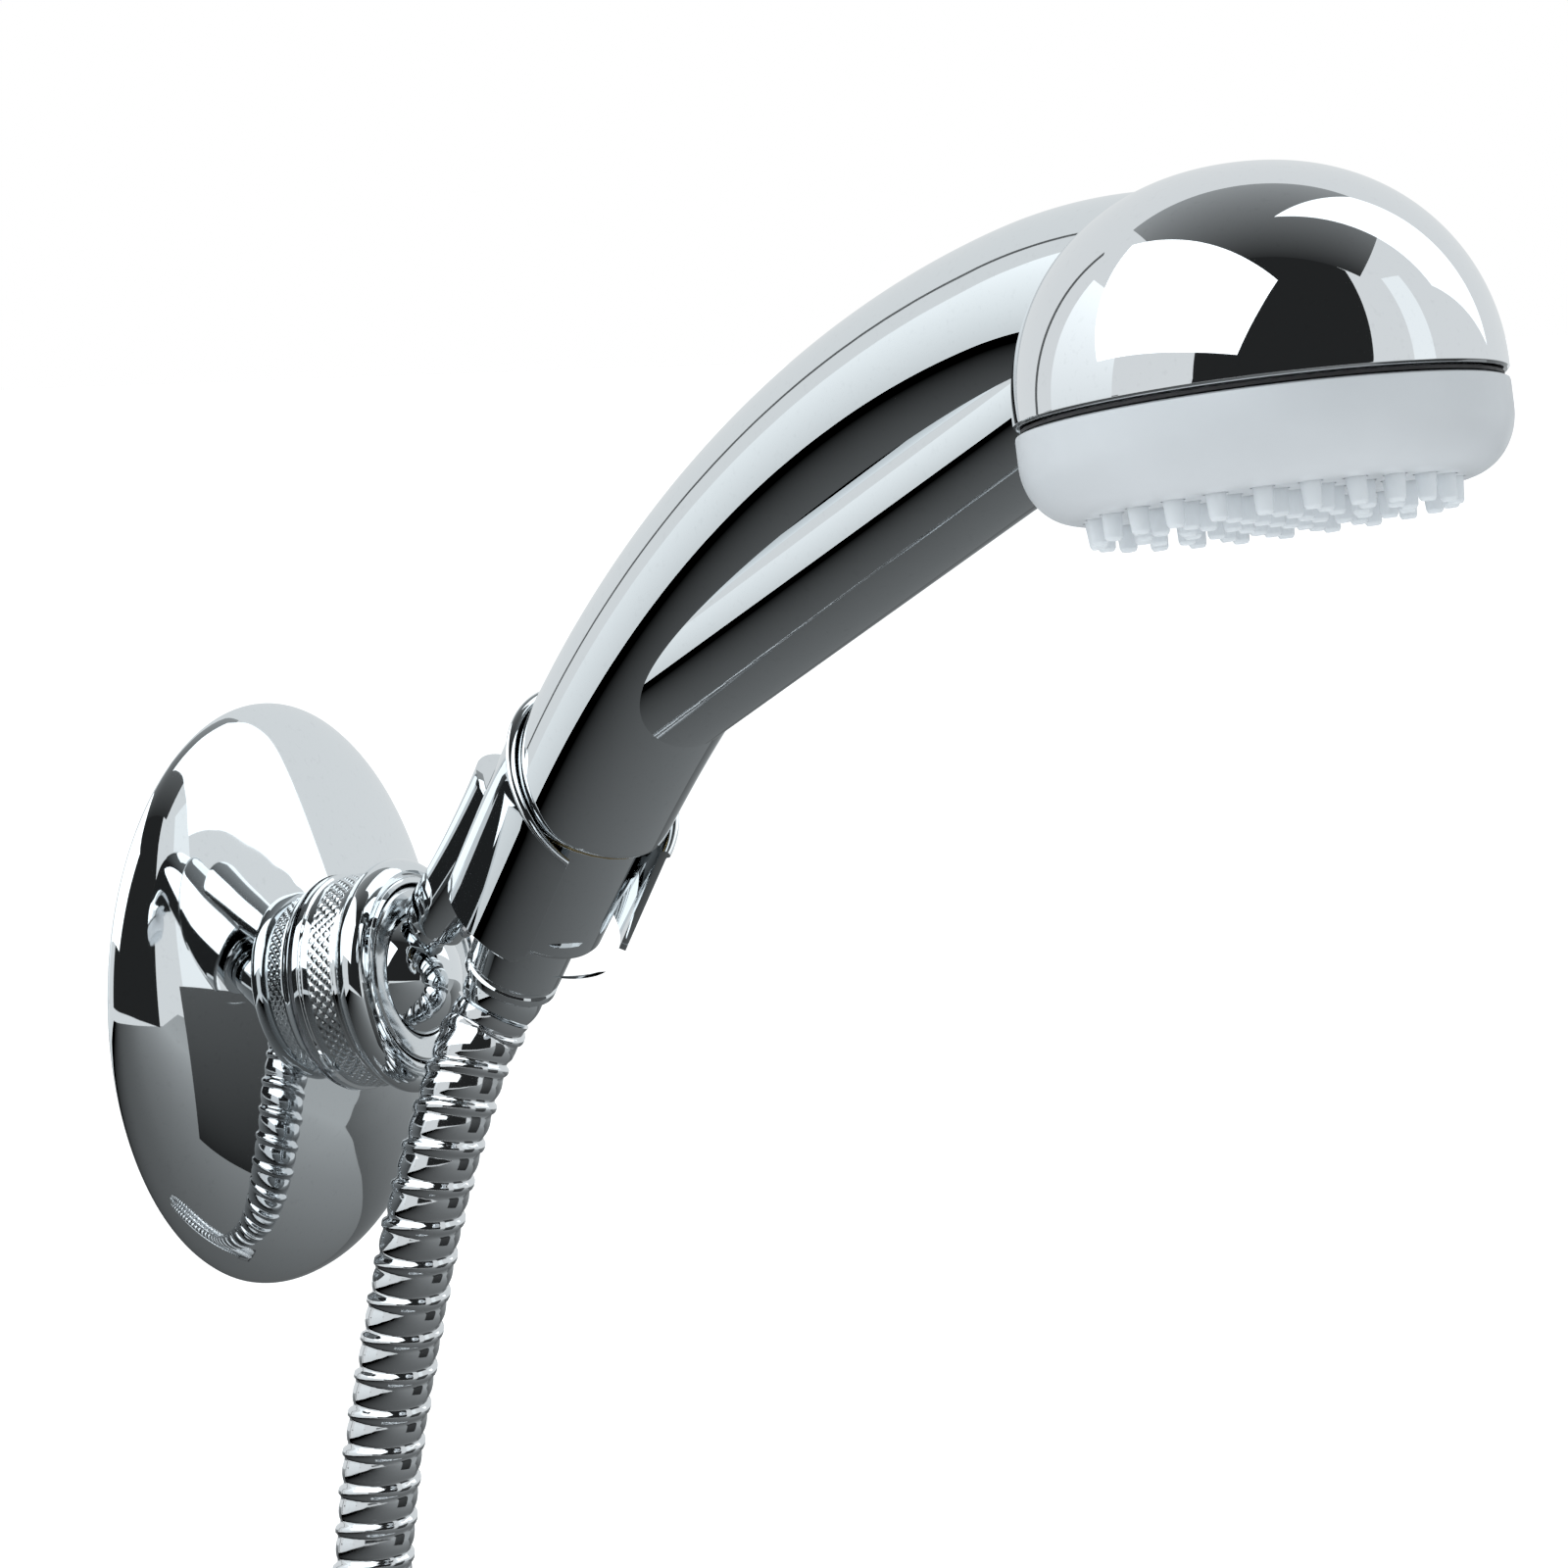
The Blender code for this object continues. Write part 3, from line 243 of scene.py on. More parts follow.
def smoothLine(points, step):
    # evenly spaced points on a Catmull-Rom curve through the given ones
    p = np.asarray(points, float)
    p = np.vstack([2 * p[0] - p[1], p, 2 * p[-1] - p[-2]])
    dense = []
    for a, b, c, d in zip(p, p[1:], p[2:], p[3:]):
        t = np.linspace(0, 1, 24, endpoint=False)[:, None]
        dense.append(0.5 * (2 * b + (c - a) * t + (2 * a - 5 * b + 4 * c - d) * t ** 2
                            + (3 * b - a - 3 * c + d) * t ** 3))
    dense = np.vstack(dense + [p[-2]])
    along = np.r_[0, np.cumsum(np.linalg.norm(np.diff(dense, axis=0), axis=1))]
    stops = np.linspace(0, along[-1], max(2, int(round(along[-1] / step)) + 1))
    return np.stack([np.interp(stops, along, dense[:, k]) for k in range(3)], 1)


def carriedFrames(line, side):
    # frames carried along a line without twist
    tangents = np.gradient(line, axis=0)
    tangents /= np.linalg.norm(tangents, axis=1)[:, None]
    side = np.asarray(side, float)
    sides = []
    for t in tangents:
        side = side - t * (side @ t)
        side = side / np.linalg.norm(side)
        sides.append(side)
    sides = np.array(sides)
    return tangents, sides, np.cross(tangents, sides)


def axisPlace(origin, direction, side=Vector((1, 0, 0))):
    z = Vector(direction).normalized()
    x = (side - z * side.dot(z)).normalized()
    return Matrix.Translation(origin) @ Matrix((x, z.cross(x), z)).transposed().to_4x4()


# ---- frames of the assembly ----
layout = dict(socketTilt=6.5, ballDistance=0.0262, ballRadius=0.0119,
              sleeveBase=(-0.0044, -0.0579, 0.0144), sleeveHeading=21.7, sleeveRise=52.8, sleeveRoll=-1.7,
              sleeveRadius=0.0162, armHeight=0.0150,
              headHeight=0.1803, headReach=0.0974, headAngle=134.7,
              bendStart=0.0200, bends=((0.2250, 38.5), (0.1200, 58.0)))

socketPlace = Matrix.Rotation(math.radians(90 - layout["socketTilt"]), 4, "X")
sleevePlace = (Matrix.Translation(layout["sleeveBase"])
               @ Matrix.Rotation(math.radians(-layout["sleeveHeading"]), 4, "Z")
               @ Matrix.Rotation(math.radians(90 - layout["sleeveRise"]), 4, "X")
               @ Matrix.Rotation(math.radians(layout["sleeveRoll"]), 4, "Z"))
headPlace = (sleevePlace @ Matrix.Translation((0, -layout["headReach"], layout["headHeight"]))
             @ Matrix.Rotation(math.radians(layout["headAngle"]), 4, "X"))
ballCentre = socketPlace @ Vector((0, 0, layout["ballDistance"]))
armFoot = sleevePlace @ Vector((0, layout["sleeveRadius"] * 0.86, layout["armHeight"]))
stemPlace = axisPlace(ballCentre, armFoot - ballCentre)


def bendPlace(distance):
    # frame on the handle's centre line, counted from where its bend starts
    y, z, angle = 0.0, layout["bendStart"], 0.0
    if distance < 0:
        return sleevePlace @ Matrix.Translation((0, 0, z + distance))
    for radius, final in layout["bends"]:
        step = min(distance, radius * (math.radians(final) - angle))
        after = angle + step / radius
        y -= radius * (math.cos(angle) - math.cos(after))
        z += radius * (math.sin(after) - math.sin(angle))
        angle, distance = after, distance - step
    return sleevePlace @ Matrix.Translation((0, y, z)) @ Matrix.Rotation(angle, 4, "X")


# ---- hose first: one length from the holder, round its coil, to the tap end ----
hose = dict(radius=0.0070, pitch=0.0068, around=36, perTurn=18,
            hang=(-0.20, 0.45, -0.87), ballDrop=0.0172, ballRadius=0.0070,
            bore=0.0032, start=0.0036, cup=0.00715,
            route=((-0.0041, -0.0435, -0.0096), (-0.0078, -0.0404, -0.0216), (-0.0094, -0.0365, -0.0344),
                   (-0.0094, -0.0323, -0.0486), (-0.0091, -0.0285, -0.0626), (-0.0090, -0.0248, -0.0779),
                   (-0.0090, -0.0219, -0.0960), (-0.0104, -0.0203, -0.1160), (-0.0150, -0.0200, -0.1300),
                   (-0.0228, -0.0200, -0.1440), (-0.0326, -0.0200, -0.1562), (-0.0453, -0.0200, -0.1708)),
            coilCentre=(-0.0038, -0.0340, -0.2328), coilRadius=0.0720, coilStart=139, coilTurns=2,
            layer=0.0140,
            tail=((-0.0649, -0.0480, -0.1933), (-0.0714, -0.0480, -0.2014),
                  (-0.0774, -0.0480, -0.2098), (-0.0827, -0.0480, -0.2187), (-0.0871, -0.0480, -0.2281),
                  (-0.0906, -0.0480, -0.2379), (-0.0930, -0.0480, -0.2481), (-0.0944, -0.0480, -0.2584),
                  (-0.0950, -0.0480, -0.2688)))
hoseBall = sleevePlace @ Vector((0, 0, -hose["ballDrop"]))


def hoseLine():
    hang = Vector(hose["hang"]).normalized()
    start = hoseBall + hang * hose["start"]
    points = [tuple(start), tuple(start + hang * 0.004)] + list(hose["route"])
    cx, cy, cz = hose["coilCentre"]
    steps = 32 * hose["coilTurns"]
    for i in range(steps + 1):
        a = math.radians(hose["coilStart"]) + math.tau * hose["coilTurns"] * i / steps
        y = cy - hose["layer"] * (hose["coilTurns"] * i / steps - 1)
        points.append((cx + hose["coilRadius"] * math.cos(a), y, cz + hose["coilRadius"] * math.sin(a)))
    return points + list(hose["tail"])


def spiralProfile(turn):
    # one turn of the interlocked strip: rolled lip, step, rounded back, groove
    knots = ((0.00, 0.890), (0.05, 0.905), (0.09, 0.975), (0.13, 0.998), (0.22, 1.000), (0.29, 0.990),
             (0.33, 0.935), (0.37, 0.920), (0.48, 0.945), (0.62, 0.960), (0.76, 0.952), (0.88, 0.925),
             (0.95, 0.893), (1.00, 0.890))
    return np.interp(turn, [k[0] for k in knots], [k[1] for k in knots])


def buildHose(mat):
    points = hoseLine()
    line = smoothLine(points, hose["pitch"] / hose["perTurn"])
    tangent, side, other = carriedFrames(line, (1, 0, 0))
    run = np.r_[0, np.cumsum(np.linalg.norm(np.diff(line, axis=0), axis=1))]
    angles = np.linspace(0, math.tau, hose["around"], endpoint=False)
    turn = (run[:, None] / hose["pitch"] - angles[None, :] / math.tau) % 1.0
    radius = hose["radius"] * spiralProfile(turn)
    rings = (line[:, None, :] + radius[..., None] * (np.cos(angles)[None, :, None] * side[:, None, :]
                                                     + np.sin(angles)[None, :, None] * other[:, None, :]))
    # the first turn is hollowed out round the ball it hangs from
    circle = (np.cos(angles)[:, None] * side[0] + np.sin(angles)[:, None] * other[0])
    hollow = [np.array(hoseBall) + hose["cup"] * (math.sin(t) * tangent[0] + math.cos(t) * circle)
              for t in np.radians(np.linspace(88, 31, 10))]
    verts, faces = capped(*skin(np.concatenate([hollow, rings])), hose["around"])
    piece = meshPiece("metalHose", verts, faces, mat, "hose", ("hose", "hose_coil", "hose_tail"),
                      sharp=60)
    return piece, line, run[-1]


chrome = chromePlate("chrome")
hoseChrome = chromePlate("hoseChrome", (0.80, 0.82, 0.84), 0.06, 0.13)
metalHose, hosePath, hoseLength = buildHose(hoseChrome)
print("hose made, length", round(float(hoseLength), 3))


# ---- wall flange ----
bell = dict(rim=0.0503, height=0.0168, wall=0.0012, sides=192, rings=64,
            outline=((0.00, 0.985), (0.035, 1.0), (0.14, 0.992), (0.30, 0.955), (0.46, 0.890), (0.61, 0.795),
                     (0.76, 0.665), (0.88, 0.535), (0.96, 0.430), (1.00, 0.372)))


def bellRing(share, radius):
    lean = math.radians(layout["socketTilt"]) * share
    rise = bell["height"] * share
    centre = Vector((0, -rise * math.cos(lean), rise * math.sin(lean)))
    return circleAt(Matrix.Translation(centre) @ Matrix.Rotation(math.radians(90) - lean, 4, "X"),
                    radius, bell["sides"])


def buildBell(mat):
    curve = smoothLine([(s, r, 0) for s, r in bell["outline"]], 1.28 / bell["rings"])
    outer = [bellRing(s + 0.012, r * bell["rim"]) for s, r, _ in curve]
    inner = [bellRing(max(s - 0.075, 0.012), r * bell["rim"] - bell["wall"]) for s, r, _ in curve[::-1]]
    verts, faces = skin(outer + inner, closed=True)
    return meshPiece("wallFlange", verts, faces, mat, "wall_unit", ("bell_flange",))


# ---- knurled collar with its bead, and the ring round the ball's mouth ----
collar = dict(sides=480, diamonds=58, knurlDepth=0.00032, knurlFrom=0.0205, knurlTo=0.0252, band=0.0183,
              face=0.0322, faceRadius=0.0150)


def knurlWave(angles, radius, height):
    low, high = collar["knurlFrom"], collar["knurlTo"]
    if radius < 0.0175 or height < low or height > high:
        return 0.0
    pitch = math.tau * collar["band"] / collar["diamonds"]
    a = (angles * collar["diamonds"] / math.tau + height / pitch) % 1.0
    b = (angles * collar["diamonds"] / math.tau - height / pitch) % 1.0
    peak = np.minimum(np.abs(a - 0.5), np.abs(b - 0.5)) * 2
    fade = min(1.0, (height - low) / 0.0004, (high - height) / 0.0004)
    return collar["knurlDepth"] * fade * (peak - 0.35)


def buildCollar(mat, faceMat):
    band = collar["band"]
    knurl = [(band, z, 0) for z in np.linspace(collar["knurlFrom"], collar["knurlTo"], 44)]
    bead = [(0.0174 + 0.0028 * math.cos(a), 0.0291 + 0.0028 * math.sin(a), 0)
            for a in np.linspace(math.radians(-86), math.radians(80), 22)]
    outline = ([(0.0158, 0.0175), (0.0187, 0.0175), (0.0187, 0.0187), (0.0181, 0.0190), (0.0181, 0.0203)]
               + knurl + [(0.0182, 0.0255), (0.0182, 0.0261), (0.0173, 0.0264)] + bead
               + [(0.0175, 0.0312), (0.0169, 0.0310), (0.0167, 0.0320), (0.0157, 0.0321), (0.0154, 0.0312),
                  (0.0154, 0.0274), (0.0158, 0.0270)])
    lathe("collarNut", softened(outline, 0.0002), socketPlace, mat, "collar", ("collar_nut",),
          sides=collar["sides"], wave=knurlWave)
    face, r = collar["face"], collar["faceRadius"]
    mouth = [(0.0122 * math.cos(t), layout["ballDistance"] + 0.0122 * math.sin(t), 0)
             for t in (math.radians(d) for d in (27, 24, 21, 20))]
    outline = [(r, 0.0280), (r, face - 0.0004), (r - 0.0004, face), (0.0116, face)] + mouth
    outline += [(0.0141, 0.0303), (0.0141, 0.0280)]
    lathe("seatRetainer", softened(outline, 0.00015), socketPlace, faceMat, "collar",
          ("seat_retainer",), sides=160)


# ---- ball and its stem ----
def buildBall(mat):
    radius, neck = layout["ballRadius"], 0.0040
    turn = np.linspace(-math.asin(0.0098 / radius), math.acos(neck / radius), 60)
    outline = [(0.0001, -0.0098)] + [(radius * math.cos(t), radius * math.sin(t)) for t in turn]
    top = outline[-1][1]
    outline += [(neck, top + 0.0016), (0.0038, top + 0.0019), (0.0038, 0.0215), (0.0033, 0.0220),
                (0.0001, 0.0220)]
    lathe("ballStud", outline, stemPlace, mat, "ball", ("ball_stud",), sides=120)


# ---- slotted holder and its arm ----
holder = dict(wall=0.0012, length=0.0286, topSlant=0.0078, footSlant=0.0008, slotHalf=40.0, corner=0.0045,
              lip=0.00055, armStart=0.0058, armEnd=0.0098, around=240)


def solidFrom(name, verts, faces):
    mesh = bpy.data.meshes.new(name)
    mesh.from_pydata([tuple(v) for v in verts], [], faces)
    bm = bmesh.new()
    bm.from_mesh(mesh)
    bmesh.ops.recalc_face_normals(bm, faces=bm.faces)
    bm.to_mesh(mesh)
    bm.free()
    solid = bpy.data.objects.new(name, mesh)
    bpy.context.collection.objects.link(solid)
    return solid


def carved(base, steps, bevel=0.0):
    # base joined with or cut by each (solid, operation); the helpers are removed again
    for solid, operation in steps:
        mod = base.modifiers.new(solid.name, "BOOLEAN")
        mod.operation, mod.solver, mod.object = operation, "EXACT", solid
    if bevel:
        mod = base.modifiers.new("edge", "BEVEL")
        mod.width, mod.segments, mod.limit_method = bevel, 3, "ANGLE"
        mod.angle_limit = math.radians(50)
    bpy.context.view_layer.update()
    ready = base.evaluated_get(bpy.context.evaluated_depsgraph_get())
    mesh = bpy.data.meshes.new_from_object(ready)
    for solid in [base] + [s for s, _ in steps]:
        bpy.data.objects.remove(solid, do_unlink=True)
    verts = [v.co.copy() for v in mesh.vertices]
    faces = [tuple(p.vertices) for p in mesh.polygons]
    bpy.data.meshes.remove(mesh)
    return verts, faces


def tubeSolid(name, rings, around):
    verts, faces = capped(*skin(rings), around)
    return solidFrom(name, verts, faces)


def buildHolder(mat):
    radius, around = layout["sleeveRadius"], holder["around"]
    inner = radius - holder["wall"]
    angles = np.linspace(0, math.tau, around, endpoint=False)

    def rim(r, height, slant):
        local = np.stack([r * np.cos(angles), r * np.sin(angles), height + slant * np.sin(angles)], 1)
        return moved(local, sleevePlace)

    top, foot, high = holder["topSlant"], holder["footSlant"], holder["length"]
    lip = holder["lip"]
    rings = [rim(inner, 0.0003, foot), rim(inner + 0.0003, 0, foot), rim(radius - 0.0003, 0, foot),
             rim(radius, 0.0003, foot)]
    rings += [rim(radius, z, foot + (top - foot) * z / high) for z in np.linspace(0.001, high - 0.0015, 14)]
    middle = radius - holder["wall"] / 2 + lip * 0.5
    for a in np.linspace(math.radians(-60), math.radians(180), 12):
        rings.append(rim(middle + (lip + 0.0003) * math.cos(a), high - 0.0004 + lip * math.sin(a), top))
    sleeve = solidFrom("sleeveShape", *skin(rings, closed=True))

    reach = (armFoot - ballCentre).length
    start = 0.0135
    armRings = []
    for t in np.linspace(0, 1, 26):
        swell = holder["armStart"] + (holder["armEnd"] - holder["armStart"]) * t ** 1.6
        along = start + (reach - start) * t
        armRings.append(circleAt(stemPlace @ Matrix.Translation((0, 0, along)), swell, 96))
    arm = tubeSolid("armShape", armRings, 96)
    boreRings = [circleAt(sleevePlace @ Matrix.Translation((0, 0, z)), inner - 0.00002, around)
                 for z in (-0.005, 0.060)]
    bore = tubeSolid("boreShape", boreRings, around)

    # slot towards the front, its lower corners rounded off
    half, corner, far = math.radians(holder["slotHalf"]), holder["corner"], 0.026
    edge = [(half, 0.060)]
    for t in np.linspace(0, 1, 9):
        z = corner * (1 - t) - holder["footSlant"]
        edge.append((half + corner / radius * (1 - math.sqrt(1 - t * t)), z))
    edge.append((edge[-1][0], -0.010))
    slotVerts, slotFaces = [], []
    columns = [[(s * a, z) for a, z in edge] for s in (-1, 1)]
    for r in (0.0105, far):
        for column in columns:
            for a, z in column:
                slotVerts.append(sleevePlace @ Vector((r * math.sin(a), -r * math.cos(a), z)))
    n = len(edge)
    for i in range(n - 1):
        for c in (0, 2):
            a, b = c * n + i, (c + 1) * n + i
            slotFaces.append((a, a + 1, b + 1, b))
        for c in (0, 1):
            a, b = c * n + i, (c + 2) * n + i
            slotFaces.append((a, b, b + 1, a + 1))
    for i in (0, n - 1):
        slotFaces.append((i, n + i, 3 * n + i, 2 * n + i))
    slot = solidFrom("slotShape", slotVerts, slotFaces)
    verts, faces = carved(sleeve, [(arm, "UNION"), (bore, "DIFFERENCE"), (slot, "DIFFERENCE")], 0.00022)
    meshPiece("holderSleeve", verts, faces, mat, "holder", ("holder",), sharp=42)


# ---- conical nut, ferrule and ball end of the hose ----
def buildHoseEnd(mat):
    outline = [(0.0053, -0.0004), (0.0113, -0.0004), (0.0117, 0.0004), (0.0124, 0.0225),
               (0.0117, 0.0232), (0.0107, 0.0232), (0.0107, 0.0026), (0.0053, 0.0026)]
    lathe("conicalNut", softened(outline, 0.0004), sleevePlace, mat, "handset", ("cone_nut",), sides=144)
    outline = [(0.0053, -0.0007), (0.0081, -0.0007), (0.0084, -0.0013), (0.0082, -0.0110), (0.0078, -0.0114),
               (0.0078, -0.0120), (0.0082, -0.0124), (0.0082, -0.0136), (0.0078, -0.0140)]
    outline += [(0.0073 * math.cos(t), -0.0172 + 0.0073 * math.sin(t), 0)
                for t in np.radians(np.linspace(26, 48, 6))]
    outline.append((0.0053, -0.0066))
    lathe("hoseFerrule", softened(outline, 0.00025), sleevePlace, mat, "lift", ("hose_ferrule",), sides=128)
    r = hose["ballRadius"]
    ball = [(r * math.cos(t), r * math.sin(t), 0) for t in np.radians(np.linspace(60, -60, 28))]
    outline = [(hose["bore"], ball[0][1])] + ball + [(hose["bore"], ball[-1][1])]
    lathe("hoseBallEnd", softened(outline, 0.0002), axisPlace(hoseBall, hose["hang"]), mat,
          "hose_ball", ("hose_ball_end",), sides=96)


# ---- handle ----
handle = dict(foot=0.0245, footRadius=0.01465, radius=0.0153, headRadius=0.0155, grow=0.018, wall=0.0020,
              reach=0.19205, around=120, rings=170)


def buildHandle(mat):
    first = handle["foot"] - layout["bendStart"]
    stops = np.linspace(first, handle["reach"], handle["rings"])
    outer, inner = [], []
    for s in stops:
        grown = 1 - math.exp(-(s - first) / handle["grow"])
        radius = handle["footRadius"] + (handle["radius"] - handle["footRadius"]) * grown
        radius += (handle["headRadius"] - handle["radius"]) * (s - first) / (handle["reach"] - first)
        outer.append(circleAt(bendPlace(s), radius, handle["around"]))
    for drop, s in ((0.0001, 0.0002), (0.0003, 0.0000)):
        outer.insert(0, circleAt(bendPlace(first + s), handle["footRadius"] - drop, handle["around"]))
    outer[2] = circleAt(bendPlace(first + 0.0005), handle["footRadius"], handle["around"])
    for s in (handle["reach"], first + 0.02, first + 0.0004, first):
        inner.append(circleAt(bendPlace(s), handle["footRadius"] - handle["wall"] - 0.0004, handle["around"]))
    verts, faces = skin(outer + inner, closed=True)
    meshPiece("handleTube", verts, faces, mat, "handset", ("handle_tube",))


# ---- head: dome, seam, spray dish and nozzles ----
head = dict(radius=0.0372, dome=0.0355, domeWall=0.0020, seam=0.0009, depth=0.0145, edgeHeight=0.0095,
            edgeWidth=0.0081, wall=0.0022, nozzle=0.0016, nozzleTip=0.00135, nozzleLength=0.0040,
            hole=0.0019, rings=((0, 1), (0.0067, 6), (0.0134, 12), (0.0201, 18), (0.0268, 24)))


def buildDome(mat):
    skirt = head["seam"] / 2 + 0.0012
    outer, inner = [], []
    for a in np.radians(np.linspace(0, 89.6, 90)):
        r = head["radius"] * math.cos(a) ** 0.92
        z = -skirt - (head["dome"] - 0.0012) * math.sin(a)
        outer.append((r, z, 0))
        inner.append((max(r - head["domeWall"], 0.00005), min(z + head["domeWall"] * math.sin(a), -skirt), 0))
    top = -skirt - head["dome"] + 0.0012
    foot = -head["seam"] / 2
    lip = [(head["radius"], foot - 0.0004, 0.0003), (head["radius"] - 0.0004, foot, 0.0002),
           (head["radius"] - head["domeWall"], foot, 0)]
    outline = [(0.00003, top, 0)] + outer[::-1] + lip + inner[::5] + [(0.00003, top + head["domeWall"], 0)]
    lathe("headDome", softened(outline), headPlace, mat, "handset", ("head_dome",),
          sides=192)


def nozzleSpots():
    spots = []
    for number, (radius, count) in enumerate(head["rings"]):
        for i in range(count):
            a = math.tau * (i + 0.5 * (number % 2)) / count
            spots.append((radius * math.cos(a), radius * math.sin(a)))
    return spots


def buildDish(mat):
    side, depth, width, height = head["radius"] - 0.0001, head["depth"], head["edgeWidth"], head["edgeHeight"]
    outline = [(side - 0.0006, 0.00065, 0), (side - 0.0001, 0.0009, 0), (side, 0.0013, 0)]
    outline += [(side - width * (1 - math.cos(a)), depth - height + height * math.sin(a), 0)
                for a in np.radians(np.linspace(0, 90, 24))]
    outline += [(side - width - 0.012, depth, 0), (0.0001, depth, 0), (0.0001, depth - head["wall"], 0)]
    outline += [(side - head["wall"] - (width - head["wall"]) * (1 - math.cos(a)),
                 depth - height + (height - head["wall"]) * math.sin(a), 0)
                for a in np.radians(np.linspace(90, 0, 10))]
    outline.append((side - head["wall"], 0.00065, 0))
    rings = []
    angles = np.linspace(0, math.tau, 160, endpoint=False)
    for r, z, _ in outline:
        rings.append(moved(np.stack([r * np.cos(angles), r * np.sin(angles), np.full(160, z)], 1), headPlace))
    dish = solidFrom("dishShape", *skin(rings, closed=True))
    holes, holeFaces = [], []
    count = 20
    for x, y in nozzleSpots():
        for z in (depth - head["wall"] - 0.001, depth + 0.001):
            holes += list(circleAt(headPlace @ Matrix.Translation((x, y, z)), head["hole"], count))
        base = len(holes) - 2 * count
        holeFaces += [(base + j, base + (j + 1) % count, base + count + (j + 1) % count, base + count + j)
                      for j in range(count)]
        holeFaces += [tuple(range(base, base + count)), tuple(range(base + count, base + 2 * count))]
    pins = solidFrom("holeShape", holes, holeFaces)
    verts, faces = carved(dish, [(pins, "DIFFERENCE")])
    meshPiece("sprayDish", verts, faces, mat, "handset", ("spray_face",))


def buildNozzles(mat):
    depth, back = head["depth"], 0.0106
    root, tip, end = head["nozzle"], head["nozzleTip"], depth + head["nozzleLength"]
    profile = [(0.0002, back + 0.0013), (root + 0.0001, back + 0.0013), (root, back + 0.0018), (root, depth),
               (root - 0.0001, depth + 0.0012), (tip, end - 0.0005), (tip - 0.0003, end), (0.0005, end),
               (0.0004, end - 0.0008), (0.0002, end - 0.0008)]
    profile = softened(profile, 0.0002, 2)
    verts, faces = [], []
    around = 20
    for spot, (x, y) in enumerate(nozzleSpots()):
        # soft nozzles never stand quite alike
        lean = (Matrix.Rotation(0.035 * math.sin(spot * 2.4), 4, "X")
                @ Matrix.Rotation(0.035 * math.cos(spot * 1.7), 4, "Y"))
        place = headPlace @ Matrix.Translation((x, y, depth)) @ lean @ Matrix.Translation((0, 0, -depth))
        v, f = skin([circleAt(place @ Matrix.Translation((0, 0, z)), r, around) for r, z in profile],
                    closed=True)
        faces += [tuple(i + len(verts) for i in face) for face in f]
        verts += list(v)
    disc = head["radius"] - head["edgeWidth"] - 0.0005
    plate = ((0.0002, back), (disc, back), (disc, back + 0.0013), (0.0002, back + 0.0013))
    v, f = skin([circleAt(headPlace @ Matrix.Translation((0, 0, z)), r, 96) for r, z in plate], closed=True)
    faces += [tuple(i + len(verts) for i in face) for face in f]
    verts += list(v)
    meshPiece("nozzleMat", verts, faces, mat, "handset", ("nozzle_mat",))


# ---- tap end of the hose ----
tapEnd = dict(place=(-0.0950, -0.0480, -0.2688), heading=(-0.0622, 0.0, -0.9981), acrossFlats=0.0240,
              length=0.0135, bore=0.0104)


def buildTapEnd(mat):
    place = axisPlace(Vector(tapEnd["place"]), Vector(tapEnd["heading"]))
    outline = [(0.0053, 0.0003), (0.0077, 0.0003), (0.0083, 0.0009), (0.0083, 0.0040), (0.0079, 0.0043),
               (0.0079, 0.0050), (0.0083, 0.0053), (0.0083, 0.0134), (0.0077, 0.0140), (0.0053, 0.0140)]
    ferrule = lathe("tapFerrule", softened(outline, 0.0003), place, mat, "hose", ("tap_ferrule",), sides=96)
    low, high = 0.0143, 0.0143 + tapEnd["length"]
    corner = tapEnd["acrossFlats"] / 2 / math.cos(math.radians(30))
    hexRings = [circleAt(place @ Matrix.Translation((0, 0, z)), corner, 6) for z in (low, high)]
    nut = tubeSolid("nutShape", hexRings, 6)
    crownRings = ((corner - 0.0022, low - 0.001), (corner + 0.0005, low + 0.0016),
                  (corner + 0.0005, high - 0.0016), (corner - 0.0022, high + 0.001))
    boreRings = ((0.0053, low - 0.001), (0.0053, low + 0.0026), (tapEnd["bore"], low + 0.00262),
                 (tapEnd["bore"], high + 0.001))
    crown, bore = (
        tubeSolid(name, [circleAt(place @ Matrix.Translation((0, 0, z)), r, 96) for r, z in rings], 96)
        for name, rings in (("crownShape", crownRings), ("nutBore", boreRings)))
    verts, faces = carved(nut, [(crown, "INTERSECT"), (bore, "DIFFERENCE")], 0.0002)
    tapNut = meshPiece("tapNut", verts, faces, mat, "tap_nut", ("tap_nut",))
    return [ferrule, tapNut]


buildBell(chrome)
buildCollar(chromePlate("collarChrome", (0.80, 0.83, 0.85), 0.03, 0.08),
            chromePlate("faceChrome", (0.74, 0.77, 0.79), 0.14, 0.20))
buildBall(chromePlate("ballChrome"))
buildHolder(chromePlate("holderChrome", (0.78, 0.81, 0.83)))
buildHoseEnd(chromePlate("fittingChrome", (0.78, 0.81, 0.83), 0.03, 0.08))
print("wall unit, holder and hose end made")
buildHandle(chromePlate("handleChrome", (0.82, 0.85, 0.87), 0.018, 0.05))
buildDome(chromePlate("domeChrome", (0.84, 0.86, 0.88), 0.015, 0.04))
buildDish(mouldedPlastic("satinGrey", (0.50, 0.525, 0.55), 0.34))
buildNozzles(mouldedPlastic("softGrey", (0.60, 0.635, 0.665), 0.55, 0.00005))
print("handset made")
onHose = buildTapEnd(chromePlate("tapChrome", (0.78, 0.81, 0.83), 0.03, 0.09))


